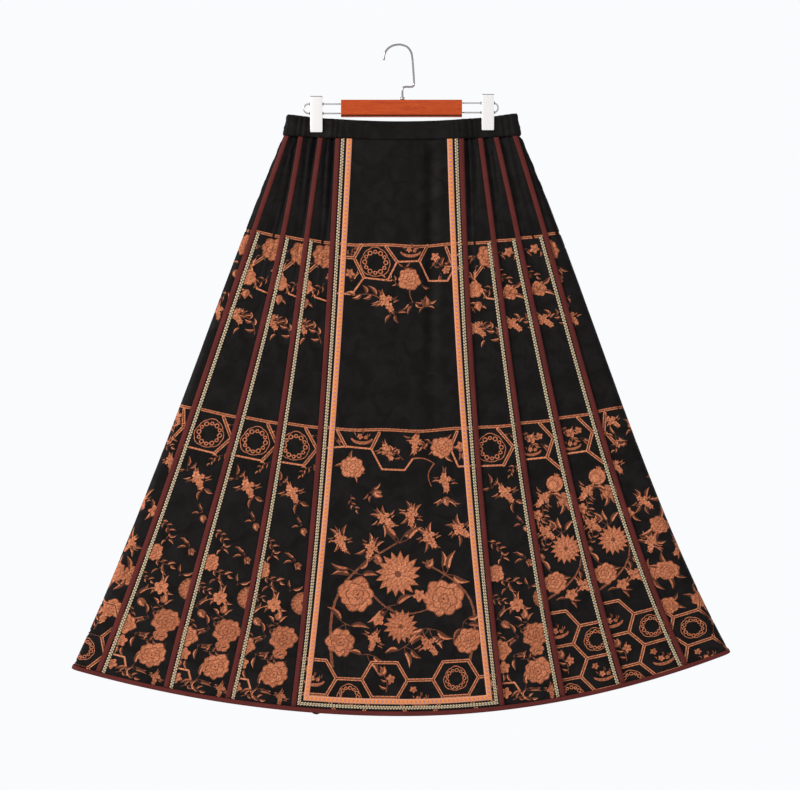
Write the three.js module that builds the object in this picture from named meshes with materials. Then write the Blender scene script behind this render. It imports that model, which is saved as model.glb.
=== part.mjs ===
// A long gored skirt with a framed front panel, hanging from a clip hanger.
// Millimetres, +Z up, the front faces -Y. The origin is the inner crown of the hanger's hook.
import * as THREE from 'three';

// Where the skirt hangs under the hook
const skirtCentreX = 5.25;
const waistSeamZ = -141.6;
const skirtDrop = 861;                 // waist seam to hem, down the centre line

// Cloth and its seams
const clothWall = 1.2;
const seamGap = 0.3;
const lapTuck = 3;                     // a gore's inner edge runs this far under its neighbour
const lapStep = 1.7;                   // and lies this far behind its neighbour's face
const lapValley = 1.1;                 // extra hollow beside the lap
const lapRun = 0.55;                   // share of a gore's width over which the lap rises
const valleyRun = 0.36;
const valleyFade = 0.7;                // how much of the hollow is gone at the hem
const sideLapRun = 0.35;               // share of a side gore over which each of its laps rises
const gatherDepth = 2.2;
const gatherWaves = 2;                 // gathers across each gore at the waist
const gatherFull = 0.03;               // share of the drop where gathers are deepest
const gatherEnd = 0.19;                // and where they have run out
const gatherAtSeam = 0.45;
const gatherColumns = 4;               // columns of points to each gather
const trimFlatEnd = 0.15;              // share of the drop below which the flat zone holds tape and braid
const foldColumns = 6;                 // columns of points round a side fold
const foldMargin = 0.15;               // least share of a side gore on each side of its fold

// Trims that lie on the panels
const trimLift = 0.3;
const trimTop = 1.3;
const tapeWidth = 7.5;
const braidWidth = 5.8;
const ribbonWidth = 8.4;
const tapeToBraid = 1.0;
const braidToRibbon = 2.6;
const bindingHeight = 7.5;
const bindingToBraid = 2.0;
const bindingEndGap = 0.7;             // at the middle of each side fold
const bindingMiddle = [['left', 60], ['right', 20], ['right', 90]];
const frameClearance = 4;              // columns nearer to a frame's legs are left out of its bottom run
const hemBraidToRibbon = 1.9;
const braidStart = tapeWidth + tapeToBraid;
const braidEnd = braidStart + braidWidth;

// The flattened tube that the skirt makes: half depths of the front and back faces
const waistHalfDepth = 7.5;
const hemHalfDepth = 27;
const hemCrown = 0.45;                 // how much shallower the hem is at its sides
const waistFoldReach = 8;              // how far the round side fold reaches inwards
const hemFoldReach = 10;
const clipPlace = 128.4;               // clip centres, left and right of the skirt's centre
const clipHold = 11;                   // half width held flat by a clip
const clipSpread = 43;                 // where the pinch has opened again
const pinchedHalfDepth = 3.8;
const pinchAtSeam = 0.85;
const pinchEnd = 0.12;

// Soft trough down the front panel, right of its centre
const trough = { centre: 44, halfWidth: 15, depth: 3.5, end: 0.77, atWaist: 0.22 };

// The back hem hangs a little lower at one place
const hemDip = { centre: -124.5, halfWidth: 18, depth: 8.5, start: 0.8 };
const dipColumns = [1, 0.96, 0.91, 0.86, 0.81, 0.75];   // shares of the panel's half width

// Waistband
const bandWall = 2.4;
const bandProud = 0.8;
const bandCentreTopZ = -114.2;
const bandTopRise = { left: 10.7, right: 12.3 };
const bandTopNarrowing = 0.025;
const smoothBandEnd = { left: 85, right: 80 };
const rucheCount = 60;
const rucheSteps = 4;
const rucheHeight = 0.9;

// Seam lines from the skirt's centre line, and how far each row climbs towards its side edge.
// Rows: waist seam, upper border line, lower border line, hem.
const seamRows = {
  left: [
    { down: 0.000, seam1: 96.0, seam2: 122.1, seam3: 151.7, seam4: 172.0, edge: 177.3, climb: 6.0 },
    { down: 0.185, seam1: 104.0, seam2: 143.1, seam3: 178.6, seam4: 222.0, edge: 234.7, climb: 24.0 },
    { down: 0.506, seam1: 121.4, seam2: 181.7, seam3: 244.4, seam4: 311.3, edge: 333.1, climb: 38.2 },
    { down: 1.000, seam1: 162.5, seam2: 261.6, seam3: 353.9, seam4: 456.5, edge: 494.7, climb: 69.0 },
  ],
  right: [
    { down: 0.000, seam1: 89.0, seam2: 117.6, seam3: 141.1, seam4: 169.4, edge: 177.6, climb: 6.0 },
    { down: 0.185, seam1: 94.3, seam2: 137.6, seam3: 174.4, seam4: 214.6, edge: 236.7, climb: 19.5 },
    { down: 0.506, seam1: 110.1, seam2: 173.5, seam3: 231.0, seam4: 289.0, edge: 332.4, climb: 36.0 },
    { down: 1.000, seam1: 150.0, seam2: 241.8, seam3: 331.5, seam4: 426.2, edge: 491.5, climb: 93.0 },
  ],
};

// Share of the drop at each row of points; the last but one is the top of the hem binding
const bindingTop = 1 - bindingHeight / skirtDrop;
const rowDowns = [0, 0.05, 0.11, 0.185, 0.3, 0.45, 0.62, 0.81, bindingTop, 1];
const borderRow = 3;
const lastFullRow = 7;
const bindingRow = 8;

// Hanger
const bar = { left: -86.25, right: 95.25, bottom: -107.1, top: -81.6, thick: 11, corner: 4, edge: 2 };
const quarterArm = 0.5523;              // Bezier arm of a quarter circle of radius 1
const rod = {
  radius: 1.25, sides: 8, steps: 34,
  left: { upper: -87.6, lower: -101.7, tip: -143.2 },
  right: { upper: -86.1, lower: -100.4, tip: 150.7 },
};
const clip = {
  outerHalf: 6.9, jawHalf: 4.9, jawLip: 0.6, tabHalf: 1, width: 18.4, blockBottom: -105,
  notchHalf: 3, notchDepth: 6.6, bevel: 2.2, holeRadius: 1.6, holeSides: 12, clearOfRuches: 2, rucheRise: 6,
  left: { x: -123.1, top: -76.4, bottom: -130.4 },
  right: { x: 133.9, top: -73.4, bottom: -127.4 },
};
const hook = {
  radius: 1.6, sides: 8, steps: 46, stemX: 6,
  // The wire's centre line from the bar up: [x, z]
  route: [
    [6, -81.3], [6, -74], [6, -66], [7.4, -62.8], [11, -61.8], [19, -61.8], [22.4, -60.4], [23.3, -56.5],
    [22.5, -40], [20.6, -17], [18, -8], [12.5, -1.6], [4.5, 1.2], [0, 1.6], [-8.5, 0], [-16.5, -5.2],
    [-21, -13.5], [-21.8, -22],
  ],
};
const ferrule = { inner: 1.95, outer: 3.5, height: 4.6, rimDrop: 1, rimIn: 0.8, sides: 16 };

// Colours
const cloth = { colour: 0x1b1818, rough: 0.85, metal: 0 };
const brownTape = { colour: 0x6a2c27, rough: 0.8, metal: 0 };
const creamBraid = { colour: 0xa89d80, rough: 0.8, metal: 0 };
const orangeRibbon = { colour: 0xe79a4a, rough: 0.6, metal: 0 };
const wood = { colour: 0xb8602c, rough: 0.5, metal: 0 };
const chrome = { colour: 0xb9bcc0, rough: 0.25, metal: 1 };

const sideSign = { left: -1, right: 1 };
const faceSign = { front: -1, back: 1 };
const otherSide = { left: 'right', right: 'left' };
const faceOut = { front: new THREE.Vector3(0, -1, 0), back: new THREE.Vector3(0, 1, 0) };

const skirt = new THREE.Group();

function addPiece(name, geometry, finish) {
  const material = new THREE.MeshStandardMaterial({
    color: finish.colour, roughness: finish.rough, metalness: finish.metal,
  });
  const piece = new THREE.Mesh(geometry, material);
  piece.name = name;
  skirt.add(piece);
  return piece;
}

function mix(from, to, share) {
  return from + (to - from) * share;
}

// 0 before the start, 1 after the end, smooth between
function ease(share) {
  const t = Math.min(1, Math.max(0, share));
  return t * t * (3 - 2 * t);
}

// 0 at both ends of 0..1, 1 in the middle
function hump(share) {
  return share <= 0 || share >= 1 ? 0 : Math.sin(Math.PI * share) ** 2;
}

// Smooth value of one column of a table at any share of the drop (the cubic through its four rows)
function readRows(rows, column, down) {
  let total = 0;
  for (const row of rows) {
    let weight = 1;
    for (const other of rows) {
      if (other !== row) weight *= (down - other.down) / (row.down - other.down);
    }
    total += weight * row[column];
  }
  return total;
}

// The back is cut like the front, so its seams are the other side's
function seamPlace(face, side, number, down) {
  const rows = seamRows[face === 'front' ? side : otherSide[side]];
  return readRows(rows, `seam${number}`, down);
}

function panelEdge(face, side, number, down) {
  return seamPlace(face, side, number, down) + tapeWidth / 2;
}

function halfDepth(x, edge, down, pinch) {
  const crown = 1 - hemCrown * down * (x / edge) ** 2;
  const open = mix(waistHalfDepth, hemHalfDepth, down) * crown;
  const nearClip = 1 - ease((Math.abs(x - clipPlace) - clipHold) / (clipSpread - clipHold));
  return open - (open - pinchedHalfDepth) * nearClip * pinch;
}

// Section of the tube at one row: flat faces joined by a round fold at each side
function sectionAt(side, down) {
  const edge = readRows(seamRows[side], 'edge', down);
  const reach = mix(waistFoldReach, hemFoldReach, down);
  const flat = edge - reach;
  const pinch = pinchAtSeam * (1 - ease(down / pinchEnd));
  const foldDepth = halfDepth(flat, edge, down, pinch);
  const foldTurn = Math.PI * (reach + foldDepth) / 2;
  return { edge, reach, flat, pinch, foldDepth, foldTurn };
}

// A place is measured along the cloth from the centre line, outwards and round the side fold
function sectionPoint(section, face, place, down, pinch = section.pinch) {
  const beyond = place - section.flat;
  if (beyond <= 0) {
    return { x: place, y: faceSign[face] * halfDepth(place, section.edge, down, pinch) };
  }
  if (beyond < section.foldTurn) {
    const turn = Math.PI * beyond / section.foldTurn;
    return {
      x: section.flat + section.reach * Math.sin(turn),
      y: faceSign[face] * section.foldDepth * Math.cos(turn),
    };
  }
  const x = section.flat - (beyond - section.foldTurn);
  return { x, y: -faceSign[face] * halfDepth(x, section.edge, down, pinch) };
}

// Where a distance seen from the front lies along the cloth
function placeSeenAt(section, x) {
  if (x <= section.flat) return x;
  const turn = Math.asin(Math.min(1, (x - section.flat) / section.reach));
  return section.flat + section.foldTurn * turn / Math.PI;
}

function skirtPoint(face, side, place, down) {
  const section = sectionAt(side, down);
  const { x, y } = sectionPoint(section, face, place, down);
  const climb = readRows(seamRows[side], 'climb', down) * (x / section.edge) ** 2;
  const worldX = skirtCentreX + sideSign[side] * x;
  let z = waistSeamZ - skirtDrop * down + climb;
  if (y > 0) {
    const across = (worldX - hemDip.centre) / (2 * hemDip.halfWidth) + 0.5;
    z -= hemDip.depth * hump(across) * ease((down - hemDip.start) / (1 - hemDip.start));
  }
  return new THREE.Vector3(worldX, y, z);
}

function normalsOf(points, out) {
  const lastRow = points.length - 1;
  const lastColumn = points[0].length - 1;
  const sum = new THREE.Vector3();
  const normals = points.map((row, r) => row.map((point, c) => {
    const across = row[Math.min(c + 1, lastColumn)].clone().sub(row[Math.max(c - 1, 0)]);
    const below = points[Math.min(r + 1, lastRow)][c].clone();
    const downwards = below.sub(points[Math.max(r - 1, 0)][c]);
    const normal = across.cross(downwards).normalize();
    sum.add(normal);
    return normal;
  }));
  if (sum.dot(out) < 0) {
    for (const row of normals) row.forEach((normal) => normal.negate());
  }
  return normals;
}

function movedOut(points, normals, distance) {
  return points.map((row, r) => row.map((point, c) => point.clone().addScaledVector(normals[r][c], distance)));
}

// Points and outward normals of a cloth face, relieved by the given depths
function clothFace(basePoints, reliefs, out) {
  const baseNormals = normalsOf(basePoints, out);
  const points = basePoints.map((row, r) => row.map(
    (point, c) => point.clone().addScaledVector(baseNormals[r][c], reliefs[r][c])));
  return { points, normals: normalsOf(points, out) };
}

// A closed wall between two grids of points of the same size
function wallBetween(outer, inner) {
  const rows = outer.length;
  const columns = outer[0].length;
  const points = [...outer.flat(), ...inner.flat()];
  const top = (r, c) => r * columns + c;
  const under = (r, c) => rows * columns + r * columns + c;
  const faces = [];
  const quad = (a, b, c, d) => faces.push(a, b, c, a, c, d);
  for (let r = 0; r < rows - 1; r++) {
    for (let c = 0; c < columns - 1; c++) {
      quad(top(r, c), top(r + 1, c), top(r + 1, c + 1), top(r, c + 1));
      quad(under(r, c), under(r, c + 1), under(r + 1, c + 1), under(r + 1, c));
    }
    quad(top(r, 0), under(r, 0), under(r + 1, 0), top(r + 1, 0));
    quad(top(r, columns - 1), top(r + 1, columns - 1), under(r + 1, columns - 1), under(r, columns - 1));
  }
  for (let c = 0; c < columns - 1; c++) {
    quad(top(0, c), top(0, c + 1), under(0, c + 1), under(0, c));
    quad(top(rows - 1, c), under(rows - 1, c), under(rows - 1, c + 1), top(rows - 1, c + 1));
  }
  return closedGeometry(points, faces);
}

// Faces are turned over where the volume they enclose comes out negative
function closedGeometry(points, faces) {
  let volume = 0;
  for (let i = 0; i < faces.length; i += 3) {
    const [a, b, c] = [points[faces[i]], points[faces[i + 1]], points[faces[i + 2]]];
    volume += a.dot(b.clone().cross(c));
  }
  const geometry = new THREE.BufferGeometry();
  geometry.setAttribute('position', new THREE.Float32BufferAttribute(points.flatMap((p) => p.toArray()), 3));
  geometry.setIndex(volume < 0 ? faces.slice().reverse() : faces);
  geometry.computeVertexNormals();
  return geometry;
}

function clothPiece(name, face, finish = cloth, thickness = clothWall) {
  addPiece(name, wallBetween(face.points, movedOut(face.points, face.normals, -thickness)), finish);
}

// Front and back panel: columns are places across, left negative
function panelFace(face) {
  const points = [];
  const reliefs = [];
  for (const down of rowDowns) {
    const left = -panelEdge(face, 'left', 1, down);
    const right = panelEdge(face, 'right', 1, down);
    const columns = face === 'front' ? frontColumns(left, right) : backColumns(left, right);
    points.push(columns.map((x) => skirtPoint(face, x < 0 ? 'left' : 'right', Math.abs(x), down)));
    reliefs.push(columns.map((x) => (face === 'front' ? troughRelief(x, down) : 0)));
  }
  return clothFace(points, reliefs, faceOut[face]);
}

function frontColumns(left, right) {
  const start = trough.centre - trough.halfWidth;
  const end = trough.centre + trough.halfWidth;
  const before = [0, 0.2, 0.45, 0.7].map((share) => mix(left, start, share));
  const across = [0, 0.25, 0.5, 0.75, 1].map((share) => mix(start, end, share));
  const after = [0.5, 1].map((share) => mix(end, right, share));
  return [...before, ...across, ...after];
}

function backColumns(left, right) {
  const corner = dipColumns.map((share) => left * share);
  const rest = [0.2, 0.4, 0.6, 0.8, 1].map((share) => mix(corner[corner.length - 1], right, share));
  return [...corner, ...rest];
}

function troughRelief(x, down) {
  const across = (x - trough.centre) / (2 * trough.halfWidth) + 0.5;
  const begun = mix(trough.atWaist, 1, ease(down / gatherFull));
  return -trough.depth * hump(across) * (1 - ease(down / trough.end)) * begun;
}

// The last gore's tape turns with the side fold at the waist, so it has more columns
function tapeColumns(number) {
  const steps = number === 3 ? 3 : 1;
  return Array.from({ length: steps + 1 }, (_, i) => tapeWidth * i / steps);
}

// A gore: columns run from its outer edge, flat where trims lie, to the edge tucked under its neighbour
function goreFace(face, side, number) {
  const points = [];
  const reliefs = [];
  const trimColumns = tapeColumns(number);
  for (const down of rowDowns) {
    const section = sectionAt(side, down);
    const inner = placeSeenAt(section, panelEdge(face, side, number, down));
    const outer = placeSeenAt(section, panelEdge(face, side, number + 1, down));
    const width = outer - inner;
    const flat = mix(braidStart, braidEnd + 1, ease(down / trimFlatEnd));
    const steps = gatherWaves * gatherColumns;
    const gathered = Array.from({ length: steps + 1 }, (_, i) => mix(flat, width, i / steps));
    const fromOuter = [...trimColumns, ...gathered, width + lapTuck];
    points.push(fromOuter.map((distance) => skirtPoint(face, side, outer - distance, down)));
    reliefs.push(fromOuter.map((distance) => goreRelief(width - distance, width, width - flat, down)));
  }
  return clothFace(points, reliefs, faceOut[face]);
}

function lapRelief(fromLap, width, down) {
  const share = Math.max(0, fromLap / width);
  const lap = lapStep * (1 - ease(share / lapRun));
  const valley = lapValley * hump(share / valleyRun) * (1 - valleyFade * down);
  return -lap - valley;
}

function goreRelief(fromLap, width, gatheredWidth, down) {
  const strength = mix(gatherAtSeam, 1, ease(down / gatherFull));
  const fade = 1 - ease((down - gatherFull) / (gatherEnd - gatherFull));
  const wave = Math.min(1, Math.max(0, fromLap / gatheredWidth));
  const gather = (1 - Math.cos(2 * Math.PI * gatherWaves * wave)) / 2;
  return lapRelief(fromLap, width, down) - gatherDepth * strength * fade * gather;
}

// Places across the side gore at one row, from the front tuck round the fold to the back tuck
function sideGorePlaces(side, down) {
  const section = sectionAt(side, down);
  const front = placeSeenAt(section, panelEdge('front', side, 4, down));
  const backSeen = placeSeenAt(section, panelEdge('back', side, 4, down));
  const back = 2 * section.flat + section.foldTurn - backSeen;
  const least = foldMargin * (back - front);
  const foldStart = Math.max(section.flat, front + least);
  const foldEnd = Math.min(section.flat + section.foldTurn, back - least);
  const places = [front - lapTuck, front, mix(front, foldStart, 0.5)];
  for (let i = 0; i <= foldColumns; i++) places.push(mix(foldStart, foldEnd, i / foldColumns));
  places.push(mix(foldEnd, back, 0.5), back, back + lapTuck);
  return { places, front, back };
}

function sideGoreFace(side) {
  const points = [];
  const reliefs = [];
  for (const down of rowDowns) {
    const { places, front, back } = sideGorePlaces(side, down);
    points.push(places.map((place) => skirtPoint('front', side, place, down)));
    reliefs.push(places.map((place) => {
      const nearer = Math.min(place - front, back - place);
      return -lapStep * (1 - ease(nearer / (back - front) / sideLapRun));
    }));
  }
  return clothFace(points, reliefs, new THREE.Vector3(sideSign[side], 0, 0));
}

// A point on a face's own facets, at a distance along one row from its first edge (or back from its
// last edge where the distance is negative), lifted off the cloth
function spotOnRow(face, row, distance, lift) {
  const points = face.points[row];
  const normals = face.normals[row];
  const order = points.map((_, i) => (distance < 0 ? points.length - 1 - i : i));
  let left = Math.abs(distance);
  for (let i = 1; i < order.length; i++) {
    const [from, to] = [order[i - 1], order[i]];
    const length = points[from].distanceTo(points[to]);
    if (left <= length || i === order.length - 1) {
      const share = left / length;
      const normal = normals[from].clone().lerp(normals[to], share).normalize();
      return points[from].clone().lerp(points[to], share).addScaledVector(normal, lift);
    }
    left -= length;
  }
  return points[order[0]].clone();
}

// The same between two rows
function spotBetween(face, row, share, distance, lift) {
  return spotOnRow(face, row, distance, lift).lerp(spotOnRow(face, row + 1, distance, lift), share);
}

function stripOn(name, face, firstRow, distances, finish) {
  const grid = (lift) => {
    const rows = [];
    for (let row = firstRow; row <= bindingRow; row++) {
      rows.push(distances.map((distance) => spotOnRow(face, row, distance, lift)));
    }
    return rows;
  };
  addPiece(name, wallBetween(grid(trimTop), grid(trimLift)), finish);
}

// A strip that runs down one side of a panel, along above its hem and up the other side
function frameOn(name, face, fromSide, width, fromHem, finish) {
  const columns = face.points[0].length;
  const line = (inset, hemInset, lift) => {
    const share = (1 - hemInset / skirtDrop - rowDowns[lastFullRow]) / (bindingTop - rowDowns[lastFullRow]);
    const spots = [];
    for (let row = 0; row <= lastFullRow; row++) spots.push(spotOnRow(face, row, inset, lift));
    spots.push(spotBetween(face, lastFullRow, share, inset, lift));
    for (let column = 0; column < columns; column++) {
      const upper = face.points[lastFullRow];
      const lower = face.points[bindingRow];
      const spot = upper[column].clone().lerp(lower[column], share);
      const normal = face.normals[bindingRow][column];
      if (isInside(column)) spots.push(spot.addScaledVector(normal, lift));
    }
    spots.push(spotBetween(face, lastFullRow, share, -inset, lift));
    for (let row = lastFullRow; row >= 0; row--) spots.push(spotOnRow(face, row, -inset, lift));
    return spots;
  };
  // Only columns clear of the two legs take part in the run above the hem
  const isInside = (column) => {
    const row = face.points[lastFullRow];
    const clear = fromSide + width + frameClearance;
    return row[column].distanceTo(row[0]) > clear && row[column].distanceTo(row[columns - 1]) > clear;
  };
  const outside = (lift) => line(fromSide, fromHem, lift);
  const inside = (lift) => line(fromSide + width, fromHem + width, lift);
  const grid = (lift) => [outside(lift), inside(lift)];
  addPiece(name, wallBetween(grid(trimTop), grid(trimLift)), finish);
}

// Places of the hem binding on one half of a face, from the middle of the side fold inwards
function bindingPlaces(face, side, down) {
  const section = sectionAt(side, down);
  const girth = 2 * section.flat + section.foldTurn;
  const { places } = sideGorePlaces(side, down);
  const fromFace = face === 'front' ? places : places.map((place) => girth - place).reverse();
  const roundFold = fromFace.slice(1, (places.length + 1) / 2).reverse();
  roundFold[0] -= bindingEndGap;
  const onGores = [];
  for (const number of [4, 3, 2]) {
    const outer = panelEdge(face, side, number, down);
    onGores.push(outer, mix(outer, panelEdge(face, side, number - 1, down), 0.5));
  }
  return [...roundFold, ...onGores.slice(1), panelEdge(face, side, 1, down)];
}

// The hem binding of one face, from side fold to side fold
function hemBinding(face) {
  const points = [bindingTop + 2 * seamGap / skirtDrop, 1].map((down) => {
    const leftEdge = panelEdge(face, 'left', 1, down);
    const corner = face === 'back' ? dipColumns.slice(1).map((share) => ['left', leftEdge * share]) : [];
    const places = [
      ...bindingPlaces(face, 'left', down).map((place) => ['left', place]), ...corner,
      ...bindingMiddle,
      ...bindingPlaces(face, 'right', down).reverse().map((place) => ['right', place]),
    ];
    return places.map(([side, place]) => skirtPoint(face, side, place, down));
  });
  const normals = normalsOf(points, faceOut[face]);
  const outer = movedOut(points, normals, trimTop);
  addPiece(`hem_binding_${face}`, wallBetween(outer, movedOut(points, normals, trimLift)), brownTape);
}

// The waistband: the waist section carried up, in two rows, with ruches raised on its outside
function bandPoint(side, place, height) {
  const section = sectionAt(side, 0);
  const { x, y } = sectionPoint(section, 'front', place, 0, 1);
  const spread = (x / section.edge) ** 2;
  const bottom = waistSeamZ + seamGap + seamRows[side][0].climb * spread;
  const top = bandCentreTopZ + bandTopRise[side] * spread;
  const narrowed = x * (1 - bandTopNarrowing * height);
  return new THREE.Vector3(skirtCentreX + sideSign[side] * narrowed, y, mix(bottom, top, height));
}

function bandPiece(name, columns, reliefs, out) {
  const heights = [0, 1];
  const points = heights.map((height) => columns.map(([side, place]) => bandPoint(side, place, height)));
  const normals = normalsOf(points, out);
  const outer = points.map((row, r) => row.map(
    (point, c) => point.clone().addScaledVector(normals[r][c], bandProud + reliefs[c])));
  addPiece(name, wallBetween(outer, movedOut(points, normals, bandProud - bandWall)), cloth);
}

function smoothBand() {
  const columns = [];
  for (const share of [1, 0.75, 0.5, 0.25]) columns.push(['left', share * smoothBandEnd.left]);
  for (const share of [0, 0.25, 0.5, 0.75, 1]) columns.push(['right', share * smoothBandEnd.right]);
  bandPiece('waistband_front', columns, columns.map(() => 0), faceOut.front);
}

// The elastic stretch runs from the right end of the smooth front round the back to its left end
function elasticBand() {
  const girth = (side) => {
    const section = sectionAt(side, 0);
    return 2 * section.flat + section.foldTurn;
  };
  const starts = { left: smoothBandEnd.left + seamGap, right: smoothBandEnd.right + seamGap };
  const lengths = { left: girth('left') - starts.left, right: girth('right') - starts.right };
  const total = lengths.left + lengths.right;
  const steps = rucheCount * rucheSteps;
  const columns = [];
  const reliefs = [];
  for (let i = 0; i <= steps; i++) {
    const along = total * i / steps;
    const onRight = along <= lengths.right;
    const side = onRight ? 'right' : 'left';
    const place = onRight ? starts.right + along : girth('left') - (along - lengths.right);
    columns.push([side, place]);
    const seen = Math.abs(sectionPoint(sectionAt(side, 0), 'front', place, 0).x - clipPlace);
    const free = ease((seen - clipHold - clip.clearOfRuches) / clip.rucheRise);
    reliefs.push(rucheHeight * free * (1 - Math.cos(2 * Math.PI * i / rucheSteps)) / 2);
  }
  bandPiece('waistband_elastic', columns, reliefs, faceOut.back);
}

function ringPoints(radius, sides, centreY = 0) {
  return Array.from({ length: sides }, (_, i) => {
    const turn = 2 * Math.PI * i / sides;
    return new THREE.Vector2(radius * Math.cos(turn), centreY + radius * Math.sin(turn));
  });
}

function wireAlong(path, size) {
  return new THREE.ExtrudeGeometry(new THREE.Shape(ringPoints(size.radius, size.sides)), {
    steps: size.steps, bevelEnabled: false, extrudePath: path,
  });
}

function hangerBar() {
  const shape = new THREE.Shape();
  const { corner, edge } = bar;
  const [left, right] = [bar.left + edge, bar.right - edge];
  const [bottom, top] = [bar.bottom + edge, bar.top - edge];
  shape.moveTo(left + corner, bottom);
  shape.lineTo(right - corner, bottom);
  shape.absarc(right - corner, bottom + corner, corner, -Math.PI / 2, 0, false);
  shape.absarc(right - corner, top - corner, corner, 0, Math.PI / 2, false);
  shape.absarc(left + corner, top - corner, corner, Math.PI / 2, Math.PI, false);
  shape.absarc(left + corner, bottom + corner, corner, Math.PI, Math.PI * 1.5, false);
  const geometry = new THREE.ExtrudeGeometry(shape, {
    depth: bar.thick - 2 * edge, bevelEnabled: true, bevelSize: edge, bevelThickness: edge,
    bevelSegments: 2, curveSegments: 4, steps: 1,
  });
  const piece = addPiece('hanger_bar', geometry, wood);
  piece.rotation.x = Math.PI / 2;
  piece.position.y = bar.thick / 2 - edge;
}

// A hairpin of wire: out from the bar, round a half turn, and back below
function hangerRod(side) {
  const { upper, lower, tip } = rod[side];
  const sign = sideSign[side];
  const start = side === 'left' ? bar.left - seamGap : bar.right + seamGap;
  const bend = (upper - lower) / 2;
  const bendX = tip - sign * (bend + rod.radius);
  const arm = quarterArm * bend;
  const at = (x, z) => new THREE.Vector3(x, 0, z);
  const middle = (upper + lower) / 2;
  const path = new THREE.CurvePath();
  path.add(new THREE.LineCurve3(at(start, upper), at(bendX, upper)));
  path.add(new THREE.CubicBezierCurve3(at(bendX, upper), at(bendX + sign * arm, upper),
    at(bendX + sign * bend, middle + arm), at(bendX + sign * bend, middle)));
  path.add(new THREE.CubicBezierCurve3(at(bendX + sign * bend, middle), at(bendX + sign * bend, middle - arm),
    at(bendX + sign * arm, lower), at(bendX, lower)));
  path.add(new THREE.LineCurve3(at(bendX, lower), at(start, lower)));
  addPiece(`hanger_rod_${side}`, wireAlong(path, rod), chrome);
}

// A clip: two jaws over the band, joined above it by a block that slides on the rod's wires
function hangerClip(side) {
  const { x, top, bottom } = clip[side];
  const { outerHalf, jawHalf, jawLip, tabHalf, notchHalf, notchDepth, bevel, blockBottom } = clip;
  const shape = new THREE.Shape([
    [-outerHalf, bottom + bevel], [-outerHalf, top - bevel], [-outerHalf + tabHalf, top], [-notchHalf - tabHalf, top],
    [-notchHalf, top - notchDepth], [notchHalf, top - notchDepth], [notchHalf + tabHalf, top],
    [outerHalf - tabHalf, top], [outerHalf, top - bevel], [outerHalf, bottom + bevel],
    [jawHalf + jawLip, bottom], [jawHalf, bottom], [jawHalf, blockBottom], [-jawHalf, blockBottom],
    [-jawHalf, bottom], [-jawHalf - jawLip, bottom],
  ].map(([y, z]) => new THREE.Vector2(y, z)));
  for (const z of [rod[side].upper, rod[side].lower]) {
    shape.holes.push(new THREE.Path(ringPoints(clip.holeRadius, clip.holeSides, z)));
  }
  const geometry = new THREE.ExtrudeGeometry(shape, { depth: clip.width, bevelEnabled: false, steps: 1 });
  const piece = addPiece(`hanger_clip_${side}`, geometry, chrome);
  // The profile's y and z become the world's, and its depth runs along x
  piece.rotation.set(Math.PI / 2, Math.PI / 2, 0);
  piece.position.x = x - clip.width / 2;
}

function hangerHook() {
  const path = new THREE.CatmullRomCurve3(hook.route.map(([x, z]) => new THREE.Vector3(x, 0, z)));
  addPiece('hanger_hook', wireAlong(path, hook), chrome);
}

function hookFerrule() {
  const profile = [
    [ferrule.inner, 0], [ferrule.outer, 0], [ferrule.outer, ferrule.height - ferrule.rimDrop],
    [ferrule.outer - ferrule.rimIn, ferrule.height], [ferrule.inner, ferrule.height], [ferrule.inner, 0],
  ].map(([x, y]) => new THREE.Vector2(x, y));
  const piece = addPiece('hanger_ferrule', new THREE.LatheGeometry(profile, ferrule.sides), chrome);
  piece.rotation.x = Math.PI / 2;
  piece.position.set(hook.stemX, 0, bar.top + seamGap);
}

// Skirt panels, with the trims that lie on each
for (const face of ['front', 'back']) {
  const panel = panelFace(face);
  clothPiece(`${face}_panel`, panel);
  stripOn(`tape_${face}_left_1`, panel, 0, [0, tapeWidth], brownTape);
  stripOn(`tape_${face}_right_1`, panel, 0, [-Number.EPSILON, -tapeWidth], brownTape);
  const braidAboveHem = bindingHeight + bindingToBraid;
  frameOn(`frame_braid_${face}`, panel, braidStart, braidWidth, braidAboveHem, creamBraid);
  const ribbonAboveHem = braidAboveHem + braidWidth + hemBraidToRibbon;
  frameOn(`frame_ribbon_${face}`, panel, braidEnd + braidToRibbon, ribbonWidth, ribbonAboveHem, orangeRibbon);
  for (const side of ['left', 'right']) {
    for (const number of [1, 2, 3]) {
      const gore = goreFace(face, side, number);
      clothPiece(`${face}_gore_${side}_${number}`, gore);
      stripOn(`tape_${face}_${side}_${number + 1}`, gore, 0, tapeColumns(number), brownTape);
      stripOn(`braid_${face}_${side}_${number + 1}`, gore, borderRow, [braidStart, braidEnd], creamBraid);
    }
  }
  hemBinding(face);
}
for (const side of ['left', 'right']) clothPiece(`side_gore_${side}`, sideGoreFace(side));

smoothBand();
elasticBand();

hangerBar();
hangerHook();
hookFerrule();
for (const side of ['left', 'right']) {
  hangerRod(side);
  hangerClip(side);
}

export default skirt;
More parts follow.
